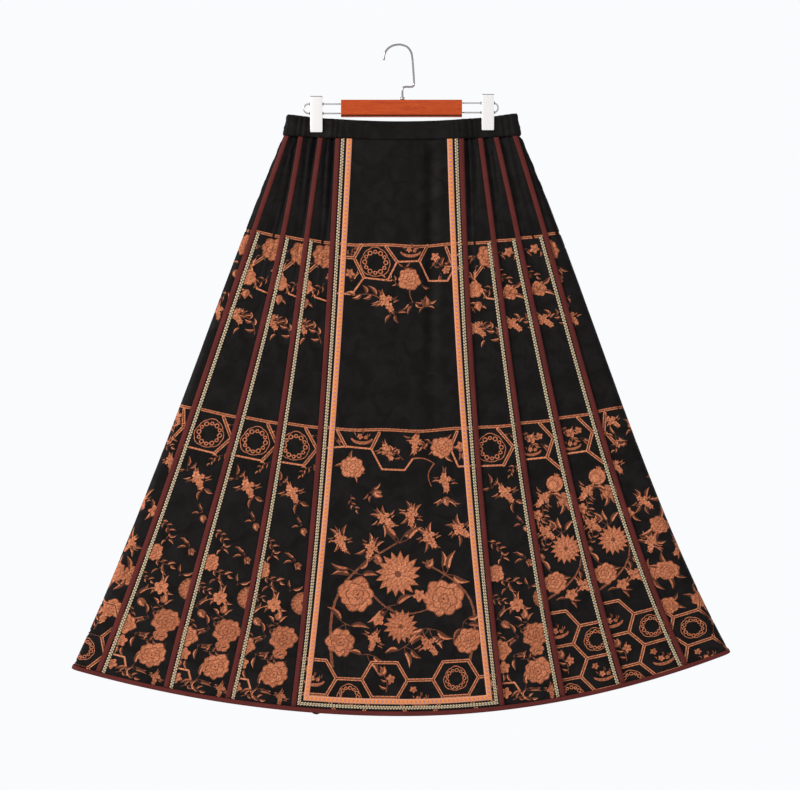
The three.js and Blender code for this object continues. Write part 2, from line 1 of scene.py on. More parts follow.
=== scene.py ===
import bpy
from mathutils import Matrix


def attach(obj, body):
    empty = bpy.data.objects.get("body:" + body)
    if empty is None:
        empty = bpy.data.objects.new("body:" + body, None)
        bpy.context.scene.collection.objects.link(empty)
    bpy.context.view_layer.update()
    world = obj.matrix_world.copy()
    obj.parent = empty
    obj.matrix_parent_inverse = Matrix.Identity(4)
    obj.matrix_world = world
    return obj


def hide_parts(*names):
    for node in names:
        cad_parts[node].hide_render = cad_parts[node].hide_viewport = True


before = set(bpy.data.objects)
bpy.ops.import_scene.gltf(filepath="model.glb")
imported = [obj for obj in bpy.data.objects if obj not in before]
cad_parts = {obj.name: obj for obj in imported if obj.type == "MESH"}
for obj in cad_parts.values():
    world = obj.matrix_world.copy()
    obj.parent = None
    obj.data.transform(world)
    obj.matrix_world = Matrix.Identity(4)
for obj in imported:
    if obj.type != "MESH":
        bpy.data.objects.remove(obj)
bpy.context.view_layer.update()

import math
import random

import bmesh
import bpy
import numpy as np
from mathutils import Vector, geometry
from mathutils.bvhtree import BVHTree
from mathutils.kdtree import KDTree

mm = 0.001


# Camera, light and floor
studio = {
    "lens": 120, "distance": 4.0, "aimX": 0.00225, "aimZ": -0.5316,
    "sensor": 36, "clipEnd": 30, "floorZ": -1.3, "floorHalf": 1.25, "lightsAim": (0, 0, -0.5),
    "white": (0.955, 0.965, 0.985), "whiteStrength": 1.0,
}


def setStudio():
    scene = bpy.context.scene
    scene.view_settings.view_transform = "Standard"
    camera = bpy.data.objects.new("camera", bpy.data.cameras.new("camera"))
    scene.collection.objects.link(camera)
    camera.data.lens = studio["lens"]
    camera.data.sensor_width = studio["sensor"]
    camera.location = (studio["aimX"], -studio["distance"], studio["aimZ"])
    camera.rotation_euler = (math.radians(90), 0, 0)
    camera.data.clip_end = studio["clipEnd"]
    scene.camera = camera
    world = bpy.data.worlds.new("studioWhite")
    scene.world = world
    world.use_nodes = True
    sky = world.node_tree.nodes["Background"]
    sky.inputs["Color"].default_value = (*studio["white"], 1)
    sky.inputs["Strength"].default_value = studio["whiteStrength"]
    lights = {
        "window": {"at": (-2.6, -1.6, 0.9), "size": 1.0, "power": 120},
        "fill": {"at": (2.3, -2.2, -0.1), "size": 1.6, "power": 3},
        "rear": {"at": (0.6, 2.6, 0.9), "size": 1.8, "power": 18},
    }
    for name, spec in lights.items():
        data = bpy.data.lights.new(name, "AREA")
        data.size = spec["size"]
        data.energy = spec["power"]
        lamp = bpy.data.objects.new(name, data)
        scene.collection.objects.link(lamp)
        lamp.location = spec["at"]
        aim = Vector(studio["lightsAim"]) - Vector(spec["at"])
        lamp.rotation_euler = aim.to_track_quat("-Z", "Y").to_euler()
    half, z = studio["floorHalf"], studio["floorZ"]
    floor = meshObject("floor", [(-half, -half, z), (half, -half, z), (half, half, z), (-half, half, z)],
                       [(0, 1, 2, 3)])
    floor.data.materials.append(paleFloor())


# Small helpers
def mix(start, end, share):
    return start + (end - start) * share


def ease(share):
    t = np.clip(share, 0, 1)
    return t * t * (3 - 2 * t)


def hump(share):
    return np.where((share <= 0) | (share >= 1), 0, np.sin(np.pi * np.clip(share, 0, 1)) ** 2)


def meshObject(name, points, faces):
    mesh = bpy.data.meshes.new(name)
    mesh.from_pydata([tuple(p) for p in points], [], [tuple(f) for f in faces])
    mesh.validate()
    item = bpy.data.objects.new(name, mesh)
    bpy.context.scene.collection.objects.link(item)
    return item


def smooth(item):
    item.data.polygons.foreach_set("use_smooth", [True] * len(item.data.polygons))


def giveUv(item, uv):
    # uv holds one pair, in metres, for each vertex
    layer = item.data.uv_layers.new(name="cloth")
    corners = np.empty(len(item.data.loops), dtype=int)
    item.data.loops.foreach_get("vertex_index", corners)
    layer.data.foreach_set("uv", np.asarray(uv)[corners].ravel())


def dress(item, slot, *nodes, material=None, body="root"):
    if material:
        item.data.materials.append(material)
    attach(item, body)
    if nodes:
        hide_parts(*nodes)
    return item


# Materials
def newMaterial(name):
    material = bpy.data.materials.new(name)
    material.use_nodes = True
    tree = material.node_tree
    return material, tree, tree.nodes["Principled BSDF"]


def connect(tree, value, socket):
    # A node's output is linked to the socket, a plain value is set in it
    if hasattr(value, "links"):
        tree.links.new(value, socket)
    else:
        socket.default_value = value


def addNode(tree, kind, inputs=None, **settings):
    item = tree.nodes.new("ShaderNode" + kind)
    for key, value in settings.items():
        setattr(item, key, value)
    for key, value in (inputs or {}).items():
        connect(tree, value, item.inputs[key])
    return item


def sums(tree, operation, *values):
    return addNode(tree, "Math", dict(enumerate(values)), operation=operation).outputs[0]


def colourMix(tree, share, first, second, blend="MIX"):
    ends = [value if hasattr(value, "links") else (*value, 1) for value in (first, second)]
    inputs = {0: share, 6: ends[0], 7: ends[1]}
    return addNode(tree, "Mix", inputs, data_type="RGBA", blend_type=blend).outputs[2]


def darkened(tree, colour, share):
    grey = addNode(tree, "CombineXYZ", {0: share, 1: share, 2: share}).outputs[0]
    return colourMix(tree, 1.0, colour, grey, "MULTIPLY")


def ramp(tree, share, stops):
    item = tree.nodes.new("ShaderNodeValToRGB")
    item.color_ramp.elements[0].position = stops[0][0]
    item.color_ramp.elements[0].color = (*stops[0][1], 1)
    item.color_ramp.elements[1].position = stops[-1][0]
    item.color_ramp.elements[1].color = (*stops[-1][1], 1)
    for position, colour in stops[1:-1]:
        element = item.color_ramp.elements.new(position)
        element.color = (*colour, 1)
    tree.links.new(share, item.inputs[0])
    return item.outputs[0]


def uvOf(tree):
    return addNode(tree, "UVMap", uv_map="cloth").outputs[0]


def uvParts(tree):
    split = addNode(tree, "SeparateXYZ", {0: uvOf(tree)})
    return split.outputs[0], split.outputs[1]


def objectPlace(tree):
    return addNode(tree, "TexCoord").outputs["Object"]


def noise(tree, where, scale, detail=3, rough=0.5, distortion=0.0):
    inputs = {"Vector": where, "Scale": scale, "Detail": detail, "Roughness": rough, "Distortion": distortion}
    return addNode(tree, "TexNoise", inputs).outputs["Fac"]


def ridges(tree, where, period, direction="X", profile="SIN", distortion=0.0, detailScale=1.0):
    # Bands that repeat every period, in metres
    settings = {"Vector": where, "Scale": 0.314159 / period, "Distortion": distortion, "Detail": 2.0,
                "Detail Scale": detailScale}
    return addNode(tree, "TexWave", settings, bands_direction=direction, wave_profile=profile).outputs["Fac"]


def bump(tree, shader, height, distance, strength=0.6):
    item = addNode(tree, "Bump", {"Height": height, "Distance": distance, "Strength": strength})
    tree.links.new(item.outputs[0], shader.inputs["Normal"])


def coat(tree, shader, colour, roughness, specular=0.5, metallic=0, relief=()):
    # relief holds a height, the distance in metres that it stands for, and its strength
    inputs = {
        "Base Color": colour, "Roughness": roughness, "Specular IOR Level": specular, "Metallic": metallic,
    }
    for name, value in inputs.items():
        connect(tree, value, shader.inputs[name])
    if relief:
        bump(tree, shader, *relief)


def sRgb(red, green, blue):
    def one(value):
        v = value / 255
        return v / 12.92 if v <= 0.04045 else ((v + 0.055) / 1.055) ** 2.4
    return one(red), one(green), one(blue)


clothLook = {
    "black": (0.0038, 0.0026, 0.0025), "blackLight": (0.0062, 0.0049, 0.0047),
    "threadPitch": 0.0006, "damaskScale": 38, "roughness": 0.66, "specular": 0.07,
    # Print colours from the darkest line to the lightest petal
    "print": [(0.0, (30, 18, 15)), (0.2, (52, 29, 21)), (0.4, (84, 48, 34)), (0.6, (128, 73, 49)),
              (0.8, (164, 96, 65)), (1.0, (190, 124, 90))],
}


def damask(name, printed=True):
    material, tree, shader = newMaterial(name)
    where = uvOf(tree)
    figure = noise(tree, where, clothLook["damaskScale"], 4, 0.55, 0.9)
    figure = sums(tree, "MULTIPLY_ADD", figure, 4.0, -1.6)
    figure = addNode(tree, "Clamp", {0: figure}).outputs[0]
    black = colourMix(tree, figure, clothLook["black"], clothLook["blackLight"])
    warp = ridges(tree, where, clothLook["threadPitch"], "X")
    weft = ridges(tree, where, clothLook["threadPitch"] * 1.2, "Y")
    weave = sums(tree, "ADD", sums(tree, "MULTIPLY", warp, 0.5), sums(tree, "MULTIPLY", weft, 0.5))
    rough = sums(tree, "MULTIPLY_ADD", figure, -0.1, clothLook["roughness"] + 0.1)
    if printed:
        tone = addNode(tree, "Attribute", attribute_name="printTone").outputs["Fac"]
        lines = ridges(tree, where, 0.0034, "DIAGONAL", distortion=9.0, detailScale=2.2)
        grain = noise(tree, where, 420, 3, 0.6)
        shade = sums(tree, "MULTIPLY_ADD", lines, -0.3, 1.12)
        shade = sums(tree, "MULTIPLY", shade, sums(tree, "MULTIPLY_ADD", grain, -0.3, 1.15))
        colour = ramp(tree, sums(tree, "MULTIPLY", tone, shade),
                      [(at, sRgb(*rgb)) for at, rgb in clothLook["print"]])
        isInk = sums(tree, "GREATER_THAN", tone, 0.02)
        inked = darkened(tree, colour, sums(tree, "MULTIPLY_ADD", weave, 0.16, 0.9))
        black = colourMix(tree, isInk, black, inked)
    coat(tree, shader, black, rough, clothLook["specular"], relief=(weave, 0.00012, 0.5))
    return material


tapeLook = {
    "ribs": 0.0011, "stitchAt": 0.0027, "stitchHalf": 0.00028, "stitchPitch": 0.0032, "stitchShare": 0.62,
}


def tapeCloth(name):
    material, tree, shader = newMaterial(name)
    where = uvOf(tree)
    across, along = uvParts(tree)
    look = tapeLook
    ribs = ridges(tree, where, look["ribs"], "Y")
    patch = noise(tree, where, 16, 4, 0.6)
    colour = colourMix(tree, patch, sRgb(56, 20, 18), sRgb(98, 38, 33))
    colour = darkened(tree, colour, sums(tree, "MULTIPLY_ADD", ribs, 0.22, 0.8))
    # Two rows of dark stitches, a millimetre in from the edges
    edge = sums(tree, "ABSOLUTE", sums(tree, "SUBTRACT", sums(tree, "ABSOLUTE", across), look["stitchAt"]))
    onRow = sums(tree, "LESS_THAN", edge, look["stitchHalf"])
    step = sums(tree, "FRACT", sums(tree, "DIVIDE", along, look["stitchPitch"]))
    stitch = sums(tree, "MULTIPLY", onRow, sums(tree, "LESS_THAN", step, look["stitchShare"]))
    colour = colourMix(tree, stitch, colour, sRgb(58, 24, 22))
    height = sums(tree, "SUBTRACT", sums(tree, "MULTIPLY", ribs, 0.5), stitch)
    coat(tree, shader, colour, 0.72, 0.1, relief=(height, 0.0002, 0.6))
    return material


braidLook = {"pitch": 0.0044, "beadAcross": 0.00118, "beadAlong": 0.00165, "eye": 0.26, "rowAt": 0.0013,
             "border": 0.00265}


def loopBraid(name):
    # Two rows of cream beads of thread, half a pitch apart, on black with black edges
    material, tree, shader = newMaterial(name)
    across, along = uvParts(tree)
    look = braidLook
    rows = []
    for side, shift in ((-1, 0.0), (1, 0.5)):
        a = sums(tree, "DIVIDE", sums(tree, "SUBTRACT", across, side * look["rowAt"]), look["beadAcross"])
        turn = sums(tree, "FRACT", sums(tree, "ADD", sums(tree, "DIVIDE", along, look["pitch"]), shift))
        b = sums(tree, "MULTIPLY", sums(tree, "SUBTRACT", turn, 0.5), look["pitch"] / look["beadAlong"])
        rows.append(sums(tree, "ADD", sums(tree, "MULTIPLY", a, a), sums(tree, "MULTIPLY", b, b)))
    near = sums(tree, "SQRT", sums(tree, "MINIMUM", rows[0], rows[1]))
    outsideEye = sums(tree, "GREATER_THAN", near, look["eye"])
    bead = sums(tree, "MULTIPLY", sums(tree, "LESS_THAN", near, 1.0), outsideEye)
    fleck = noise(tree, uvOf(tree), 800, 2, 0.5)
    cream = colourMix(tree, fleck, sRgb(152, 134, 102), sRgb(212, 192, 156))
    colour = colourMix(tree, bead, sRgb(24, 20, 20), cream)
    edge = sums(tree, "GREATER_THAN", sums(tree, "ABSOLUTE", across), look["border"])
    colour = colourMix(tree, edge, colour, sRgb(18, 15, 15))
    height = sums(tree, "MULTIPLY", bead, sums(tree, "SUBTRACT", 1.2, near))
    coat(tree, shader, colour, 0.6, 0.2, relief=(height, 0.0005, 0.8))
    return material


ribbonLook = {
    "orangeHalf": 0.0019, "rimHalf": 0.0002, "dotPitch": 0.0062, "dotRadius": 0.0014, "edgeAt": 0.0039,
}


def spottedRibbon(name):
    # Orange middle with a line of violet dots, peach edges
    material, tree, shader = newMaterial(name)
    across, along = uvParts(tree)
    where = uvOf(tree)
    look = ribbonLook
    width = sums(tree, "ABSOLUTE", across)
    grain = noise(tree, where, 700, 2, 0.6)
    orange = colourMix(tree, grain, sRgb(196, 112, 38), sRgb(212, 128, 50))
    peach = colourMix(tree, grain, sRgb(168, 114, 90), sRgb(194, 140, 114))
    colour = colourMix(tree, sums(tree, "GREATER_THAN", width, look["orangeHalf"]), orange, peach)
    fromRim = sums(tree, "ABSOLUTE", sums(tree, "SUBTRACT", width, look["orangeHalf"]))
    colour = colourMix(tree, sums(tree, "LESS_THAN", fromRim, look["rimHalf"]), colour, sRgb(170, 96, 52))
    turn = sums(tree, "FRACT", sums(tree, "DIVIDE", along, look["dotPitch"]))
    fromDot = sums(tree, "MULTIPLY", sums(tree, "SUBTRACT", turn, 0.5), look["dotPitch"])
    squares = [sums(tree, "MULTIPLY", value, value) for value in (across, fromDot)]
    distance = sums(tree, "SQRT", sums(tree, "ADD", *squares))
    colour = colourMix(tree, sums(tree, "LESS_THAN", distance, look["dotRadius"]), colour, sRgb(134, 96, 120))
    edge = sums(tree, "GREATER_THAN", width, look["edgeAt"])
    colour = colourMix(tree, edge, colour, sRgb(128, 70, 52))
    coat(tree, shader, colour, 0.6, 0.08, relief=(ridges(tree, where, 0.0008, "Y"), 0.00012, 0.5))
    return material


def varnishedWood(name):
    material, tree, shader = newMaterial(name)
    stretched = addNode(tree, "Mapping", {"Vector": objectPlace(tree), "Scale": (9, 60, 130)}).outputs[0]
    grain = noise(tree, stretched, 3.2, 6, 0.62, 1.6)
    fine = noise(tree, stretched, 16, 3, 0.6, 0.4)
    share = sums(tree, "MULTIPLY_ADD", fine, 0.35, sums(tree, "MULTIPLY", grain, 0.75))
    colour = ramp(tree, share, [(0.3, sRgb(116, 38, 9)), (0.5, sRgb(150, 52, 10)), (0.72, sRgb(168, 68, 18))])
    coat(tree, shader, colour, 0.42, 0.2, relief=(fine, 0.00015, 0.3))
    return material


# Near-black paint for the bar's groove: painted shade, standing in for the shadow that falls in the groove
def paintedGrooveShade(name):
    material, tree, shader = newMaterial(name)
    colour = colourMix(tree, noise(tree, objectPlace(tree), 300, 3, 0.5), sRgb(14, 6, 5), sRgb(26, 12, 9))
    coat(tree, shader, colour, 0.6, 0.1)
    return material


def brightSteel(name, tint, low, high, brushing=0.4):
    material, tree, shader = newMaterial(name)
    brushed = addNode(tree, "Mapping", {"Vector": objectPlace(tree), "Scale": (60, 60, 900)}).outputs[0]
    scratch = noise(tree, brushed, 6, 3, 0.6)
    colour = colourMix(tree, scratch, [v * 0.9 for v in tint], tint)
    rough = sums(tree, "MULTIPLY_ADD", scratch, high - low, low)
    coat(tree, shader, colour, rough, metallic=1, relief=(scratch, 0.00003, brushing))
    return material


def softRubber(name):
    material, tree, shader = newMaterial(name)
    speck = noise(tree, objectPlace(tree), 900, 2, 0.5)
    colour = colourMix(tree, speck, sRgb(58, 56, 54), sRgb(84, 82, 80))
    coat(tree, shader, colour, 0.7, relief=(speck, 0.0001, 0.4))
    return material


def paleFloor():
    material, tree, shader = newMaterial("paleFloor")
    cloud = noise(tree, objectPlace(tree), 3, 3, 0.5)
    coat(tree, shader, colourMix(tree, cloud, sRgb(228, 229, 232), sRgb(236, 237, 240)), 0.8)
    return material


# The flattened tube of the skirt, in millimetres, from the values of the part's source
tube = {
    "centreX": 5.25, "waistZ": -141.6, "drop": 861, "wall": 0.9,
    "gap": 0.3, "waistHalfDepth": 7.5, "hemHalfDepth": 27, "hemCrown": 0.45, "waistFold": 8, "hemFold": 10,
    "clipPlace": 128.4, "clipHold": 11, "clipSpread": 43, "pinched": 3.8,
    "pinchAtSeam": 0.85, "pinchEnd": 0.12,
    "dipCentre": -124.5, "dipHalf": 18, "dipDepth": 8.5, "dipStart": 0.8,
    "rowDowns": (0.0, 0.185, 0.506, 1.0),
}
seams = {
    "left": {
        "seam1": (96.0, 104.0, 121.4, 162.5), "seam2": (122.1, 143.1, 181.7, 261.6),
        "seam3": (151.7, 178.6, 244.4, 353.9), "seam4": (172.0, 222.0, 311.3, 456.5),
        "edge": (177.3, 234.7, 333.1, 494.7), "climb": (6.0, 24.0, 38.2, 69.0),
    },
    "right": {
        "seam1": (89.0, 94.3, 110.1, 150.0), "seam2": (117.6, 137.6, 173.5, 241.8),
        "seam3": (141.1, 174.4, 231.0, 331.5), "seam4": (169.4, 214.6, 289.0, 426.2),
        "edge": (177.6, 236.7, 332.4, 491.5), "climb": (6.0, 19.5, 36.0, 93.0),
    },
}
trims = {
    "tape": 7.5, "braid": 5.8, "ribbon": 8.4, "tapeToBraid": 1.0, "braidToRibbon": 2.6,
    "binding": 7.5, "bindingToBraid": 2.0, "bindingEndGap": 0.7, "hemBraidToRibbon": 1.9,
    "bottom": 0.05, "edgeLift": 0.5, "top": 1.15, "rowStep": 5.5, "columns": 7, "hemRows": 52,
}
braidStart = trims["tape"] + trims["tapeToBraid"]
braidEnd = braidStart + trims["braid"]
relief = {
    "lapTuck": 3, "lapStep": 1.7, "lapValley": 1.1, "lapRun": 0.55, "deeper": 1.7,
    "valleyRun": 0.36, "valleyFade": 0.7,
    "sideLapRun": 0.35, "gatherDepth": 2.2, "gatherWaves": 2, "gatherFull": 0.03, "gatherEnd": 0.19,
    "gatherAtSeam": 0.45, "trimFlatEnd": 0.15,
    "troughCentre": 44, "troughHalf": 15, "troughDepth": 3.5, "troughEnd": 0.77, "troughAtWaist": 0.22,
}
sideSign = {"left": -1, "right": 1}
faceSign = {"front": -1, "back": 1}
otherSide = {"left": "right", "right": "left"}


def alongDrop(values, down):
    # The cubic through the four measured rows
    total = 0
    downs = tube["rowDowns"]
    for i, value in enumerate(values):
        weight = value
        for j, other in enumerate(downs):
            if j != i:
                weight = weight * (down - other) / (downs[i] - other)
        total = total + weight
    return total


def panelEdge(face, side, number, down):
    rows = seams[side if face == "front" else otherSide[side]]
    return alongDrop(rows[f"seam{number}"], down) + trims["tape"] / 2


def halfDepth(x, edge, down, pinch):
    crown = 1 - tube["hemCrown"] * down * (x / edge) ** 2
    opened = mix(tube["waistHalfDepth"], tube["hemHalfDepth"], down) * crown
    spread = tube["clipSpread"] - tube["clipHold"]
    nearClip = 1 - ease((np.abs(x - tube["clipPlace"]) - tube["clipHold"]) / spread)
    return opened - (opened - tube["pinched"]) * nearClip * pinch


def sectionAt(side, down):
    edge = alongDrop(seams[side]["edge"], down)
    reach = mix(tube["waistFold"], tube["hemFold"], down)
    flat = edge - reach
    pinch = tube["pinchAtSeam"] * (1 - ease(down / tube["pinchEnd"]))
    foldDepth = halfDepth(flat, edge, down, pinch)
    return edge, reach, flat, pinch, foldDepth, np.pi * (reach + foldDepth) / 2


def tubeXy(section, face, place, down, pinch=None):
    # A place is measured along the cloth from the centre line, outwards and round the side fold
    edge, reach, flat, ownPinch, foldDepth, foldTurn = section
    pinch = ownPinch if pinch is None else pinch
    sign = faceSign[face]
    beyond = place - flat
    turn = np.pi * np.clip(beyond / foldTurn, 0, 1)
    farX = flat - (beyond - foldTurn)
    x = np.where(beyond <= 0, place, np.where(beyond < foldTurn, flat + reach * np.sin(turn), farX))
    near = sign * halfDepth(place, edge, down, pinch)
    far = -sign * halfDepth(farX, edge, down, pinch)
    y = np.where(beyond <= 0, near, np.where(beyond < foldTurn, sign * foldDepth * np.cos(turn), far))
    return x, y


def placeSeenAt(section, x):
    _, reach, flat, _, _, foldTurn = section
    turn = np.arcsin(np.clip((x - flat) / reach, 0, 1))
    return np.where(x <= flat, x, flat + foldTurn * turn / np.pi)


def sidePoint(face, side, place, down):
    section = sectionAt(side, down)
    x, y = tubeXy(section, face, place, down)
    climb = alongDrop(seams[side]["climb"], down) * (x / section[0]) ** 2
    worldX = tube["centreX"] + sideSign[side] * x
    z = tube["waistZ"] - tube["drop"] * down + climb
    dip = hump((worldX - tube["dipCentre"]) / (2 * tube["dipHalf"]) + 0.5)
    low = tube["dipDepth"] * dip * ease((down - tube["dipStart"]) / (1 - tube["dipStart"]))
    return np.stack([worldX, y, np.where(y > 0, z - low, z)], axis=-1)


def onTube(face, across, down):
    # across is a place with its side's sign: left of the centre line is negative
    across, down = np.broadcast_arrays(np.asarray(across, float), np.asarray(down, float))
    left = sidePoint(face, "left", np.abs(across), down)
    right = sidePoint(face, "right", np.abs(across), down)
    return np.where((across < 0)[..., None], left, right)


def outOf(face, shape, across, down):
    # Outward unit normals of a surface shape(across, down)
    stepAcross, stepDown = 0.4, 0.0006
    sideways = shape(across + stepAcross, down) - shape(across - stepAcross, down)
    downwards = shape(across, down + stepDown) - shape(across, down - stepDown)
    normal = faceSign[face] * np.cross(sideways, downwards)
    return normal / np.linalg.norm(normal, axis=-1, keepdims=True)


def plainSurface(face):
    def shape(across, down):
        return onTube(face, across, down)
    return shape


def clothSurface(face, depth):
    # The tube's face, relieved by depth(across, down); depths go outwards
    base = plainSurface(face)

    def shape(across, down):
        return base(across, down) + outOf(face, base, across, down) * depth(across, down)[..., None]
    return shape


def raised(face, shape, across, down, lift):
    across, down = np.broadcast_arrays(np.asarray(across, float), np.asarray(down, float))
    lift = np.broadcast_to(lift, across.shape)
    return shape(across, down) + outOf(face, shape, across, down) * lift[..., None]


# Creases that lie on each piece: share across, half width in mm, depth, from and to (shares of the drop)
creases = {
    "panel": [
        (0.30, 9, -0.9, -0.05, 0.34), (0.44, 14, 0.7, 0.0, 0.55), (0.62, 7, -0.8, -0.05, 0.2),
        (0.16, 10, -0.8, 0.25, 0.95), (0.53, 12, -1.0, 0.42, 0.98), (0.81, 13, -1.1, 0.38, 0.97),
        (0.36, 9, 0.8, 0.6, 1.05), (0.70, 8, -0.6, 0.1, 0.5),
    ],
    "gore1": [(0.42, 8, -0.8, 0.1, 0.6), (0.55, 11, -1.0, 0.5, 1.05), (0.32, 9, 0.6, 0.62, 1.02)],
    "gore2": [(0.5, 9, -0.9, 0.14, 0.7), (0.36, 12, -1.1, 0.55, 1.08), (0.6, 7, 0.5, 0.3, 0.82)],
    "gore3": [(0.38, 8, -0.9, 0.08, 0.52), (0.5, 13, -1.2, 0.46, 1.02), (0.62, 9, 0.6, 0.7, 1.06)],
    "side": [(0.24, 9, -0.9, 0.15, 0.7), (0.76, 11, -1.0, 0.25, 0.9), (0.36, 10, 0.6, 0.5, 1.05)],
}
creaseSway = {"reach": 0.03, "perDrop": 5.2, "apart": 1.7}
gatherFolds = {"depth": 2.6, "waves": (2.3, 3.9), "drift": 2.4, "end": 0.38, "step": 2.5, "fullness": 1.35}
sideFolds = {"depth": 1.2, "waves": 5.2, "end": 0.34}
keptFlat = {"trims": 0.22, "lap": 0.12, "panel": 0.14, "side": 0.2}     # shares of a piece's width


def creased(name, share, width, down, wander=0.0):
    total = 0
    for i, (at, half, depth, start, end) in enumerate(creases[name]):
        along = (down - start) / (end - start)
        sway = np.sin(creaseSway["perDrop"] * down + creaseSway["apart"] * i + wander)
        line = at + creaseSway["reach"] * sway
        near = np.exp(-((share - line) * width / half) ** 2)
        total = total + depth * near * hump(along)
    return total


def goreSpan(face, side, number, down):
    section = sectionAt(side, down)
    inner = placeSeenAt(section, panelEdge(face, side, number, down))
    outer = placeSeenAt(section, panelEdge(face, side, number + 1, down))
    return inner, outer


def goreDepth(face, side, number):
    wander = {"front": 0, "back": 2.1}[face] + {"left": 0, "right": 1.3}[side] + number * 0.9

    def depth(across, down):
        inner, outer = goreSpan(face, side, number, down)
        width = outer - inner
        fromLap = np.abs(across) - inner
        flat = mix(braidStart, braidEnd + 1, ease(down / relief["trimFlatEnd"]))
        share = np.maximum(0, fromLap / width)
        lap = relief["lapStep"] * (1 - ease(share / relief["lapRun"]))
        valley = relief["lapValley"] * hump(share / relief["valleyRun"]) * (1 - relief["valleyFade"] * down)
        strength = mix(relief["gatherAtSeam"], 1, ease(down / relief["gatherFull"]))
        fade = 1 - ease((down - relief["gatherFull"]) / (relief["gatherEnd"] - relief["gatherFull"]))
        wave = np.clip(fromLap / (width - flat), 0, 1)
        gather = (1 - np.cos(2 * np.pi * relief["gatherWaves"] * wave)) / 2
        clear = ease((1 - wave) / keptFlat["trims"]) * ease(share / keptFlat["lap"])
        fine = 0
        for i, waves in enumerate(gatherFolds["waves"]):
            fine = fine + np.sin(2 * np.pi * waves * wave + wander * (i + 1) + gatherFolds["drift"] * down)
        fine = fine * gatherFolds["depth"] / 2 * (1 - ease(down / gatherFolds["end"]))
        soft = creased(f"gore{number}", share, width, down, wander)
        deep = relief["deeper"] * relief["gatherDepth"] * strength * fade * gather
        return -lap - valley - deep + (fine + soft) * clear
    return depth


def panelDepth(face):
    def depth(across, down):
        left = panelEdge(face, "left", 1, down)
        right = panelEdge(face, "right", 1, down)
        share = (across + left) / (left + right)
        clear = ease(share / keptFlat["panel"]) * ease((1 - share) / keptFlat["panel"])
        total = creased("panel", share, left + right, down, 0 if face == "front" else 1.9) * clear
        if face == "front":
            trough = hump((across - relief["troughCentre"]) / (2 * relief["troughHalf"]) + 0.5)
            begun = mix(relief["troughAtWaist"], 1, ease(down / relief["gatherFull"]))
            ended = 1 - ease(down / relief["troughEnd"])
            total = total - relief["deeper"] * relief["troughDepth"] * trough * ended * begun
        return total
    return depth


def sideSpan(side, down):
    section = sectionAt(side, down)
    front = placeSeenAt(section, panelEdge("front", side, 4, down))
    backSeen = placeSeenAt(section, panelEdge("back", side, 4, down))
    return front, 2 * section[2] + section[5] - backSeen


def sideDepth(side):
    def depth(across, down):
        front, back = sideSpan(side, down)
        place = np.abs(across)
        nearer = np.minimum(place - front, back - place)
        width = back - front
        lap = relief["lapStep"] * (1 - ease(nearer / width / relief["sideLapRun"]))
        share = (place - front) / width
        wave = np.sin(2 * np.pi * sideFolds["waves"] * share + sideSign[side])
        fine = sideFolds["depth"] * wave * (1 - ease(down / sideFolds["end"]))
        soft = creased("side", share, width, down, sideSign[side])
        return -lap + (fine + soft) * ease(nearer / width / keptFlat["side"])
    return depth


# Motifs of the print: each gives closed outlines in mm with a tone from 0 (cloth) to 1 (lightest)
def turned(points, x, y, turn=0.0):
    across, down = np.asarray(points, float).T
    c, s = math.cos(turn), math.sin(turn)
    return np.stack([x + across * c - down * s, y + across * s + down * c], axis=1)


def disc(x, y, r, tone, sides=14, squash=1.0, turn=0.0):
    angles = np.arange(sides) * 2 * math.pi / sides
    return [(turned(np.stack([r * np.cos(angles), r * squash * np.sin(angles)], axis=1), x, y, turn), tone)]


def lobed(x, y, r, lobes, depth, tone, turn=0.0, squash=1.0, perLobe=6):
    count = lobes * perLobe
    angles = np.arange(count) * 2 * math.pi / count
    radius = r * (1 - depth + depth * np.abs(np.cos(lobes * angles / 2)) ** 0.6)
    radius = radius * (1 + 0.05 * np.sin(3 * angles + turn * 5))
    ring = np.stack([radius * np.cos(angles), radius * squash * np.sin(angles)], axis=1)
    return [(turned(ring, x, y, turn), tone)]


chance = random.Random(29)      # shakes each petal and leaf a little, alike in every run


def shake(reach):
    return 1 + chance.uniform(-reach, reach)


def leaf(x, y, length, width, turn, tone=0.5, bend=0.12, rib=True):
    # A bent, pointed leaf: dark, with one light side
    shares = np.linspace(0, 1, 8)
    half = width / 2 * np.sin(np.pi * shares ** 0.75)
    curve = bend * length * np.sin(np.pi * shares)
    upper = np.stack([shares * length, curve + half], axis=1)
    lower = np.stack([shares * length, curve - half], axis=1)[1:-1][::-1]
    body = tone * 0.66 if rib else tone
    shapes = [(turned(np.concatenate([upper, lower]), x, y, turn), body)]
    if rib:
        top = np.stack([shares * length, curve + half * 0.96], axis=1)[1:]
        low = np.stack([shares * length, curve + half * 0.1], axis=1)[1:-1][::-1]
        shapes.append((turned(np.concatenate([top, low]), x, y, turn), min(0.9, tone * 1.5)))
    return shapes


def stem(points, width, tone=0.42):
    points = np.asarray(points, float)
    steps = np.gradient(points, axis=0)
    sideways = np.stack([-steps[:, 1], steps[:, 0]], axis=1)
    sideways = sideways / np.linalg.norm(sideways, axis=1, keepdims=True)
    half = width / 2 * np.linspace(1, 0.55, len(points))[:, None]
    return [(np.concatenate([points + sideways * half, (points - sideways * half)[::-1]]), tone)]


def arch(start, end, sag, count=7):
    start, end = np.asarray(start, float), np.asarray(end, float)
    shares = np.linspace(0, 1, count)[:, None]
    way = end - start
    side = np.array([-way[1], way[0]]) * sag
    return start + way * shares + side * np.sin(math.pi * shares)


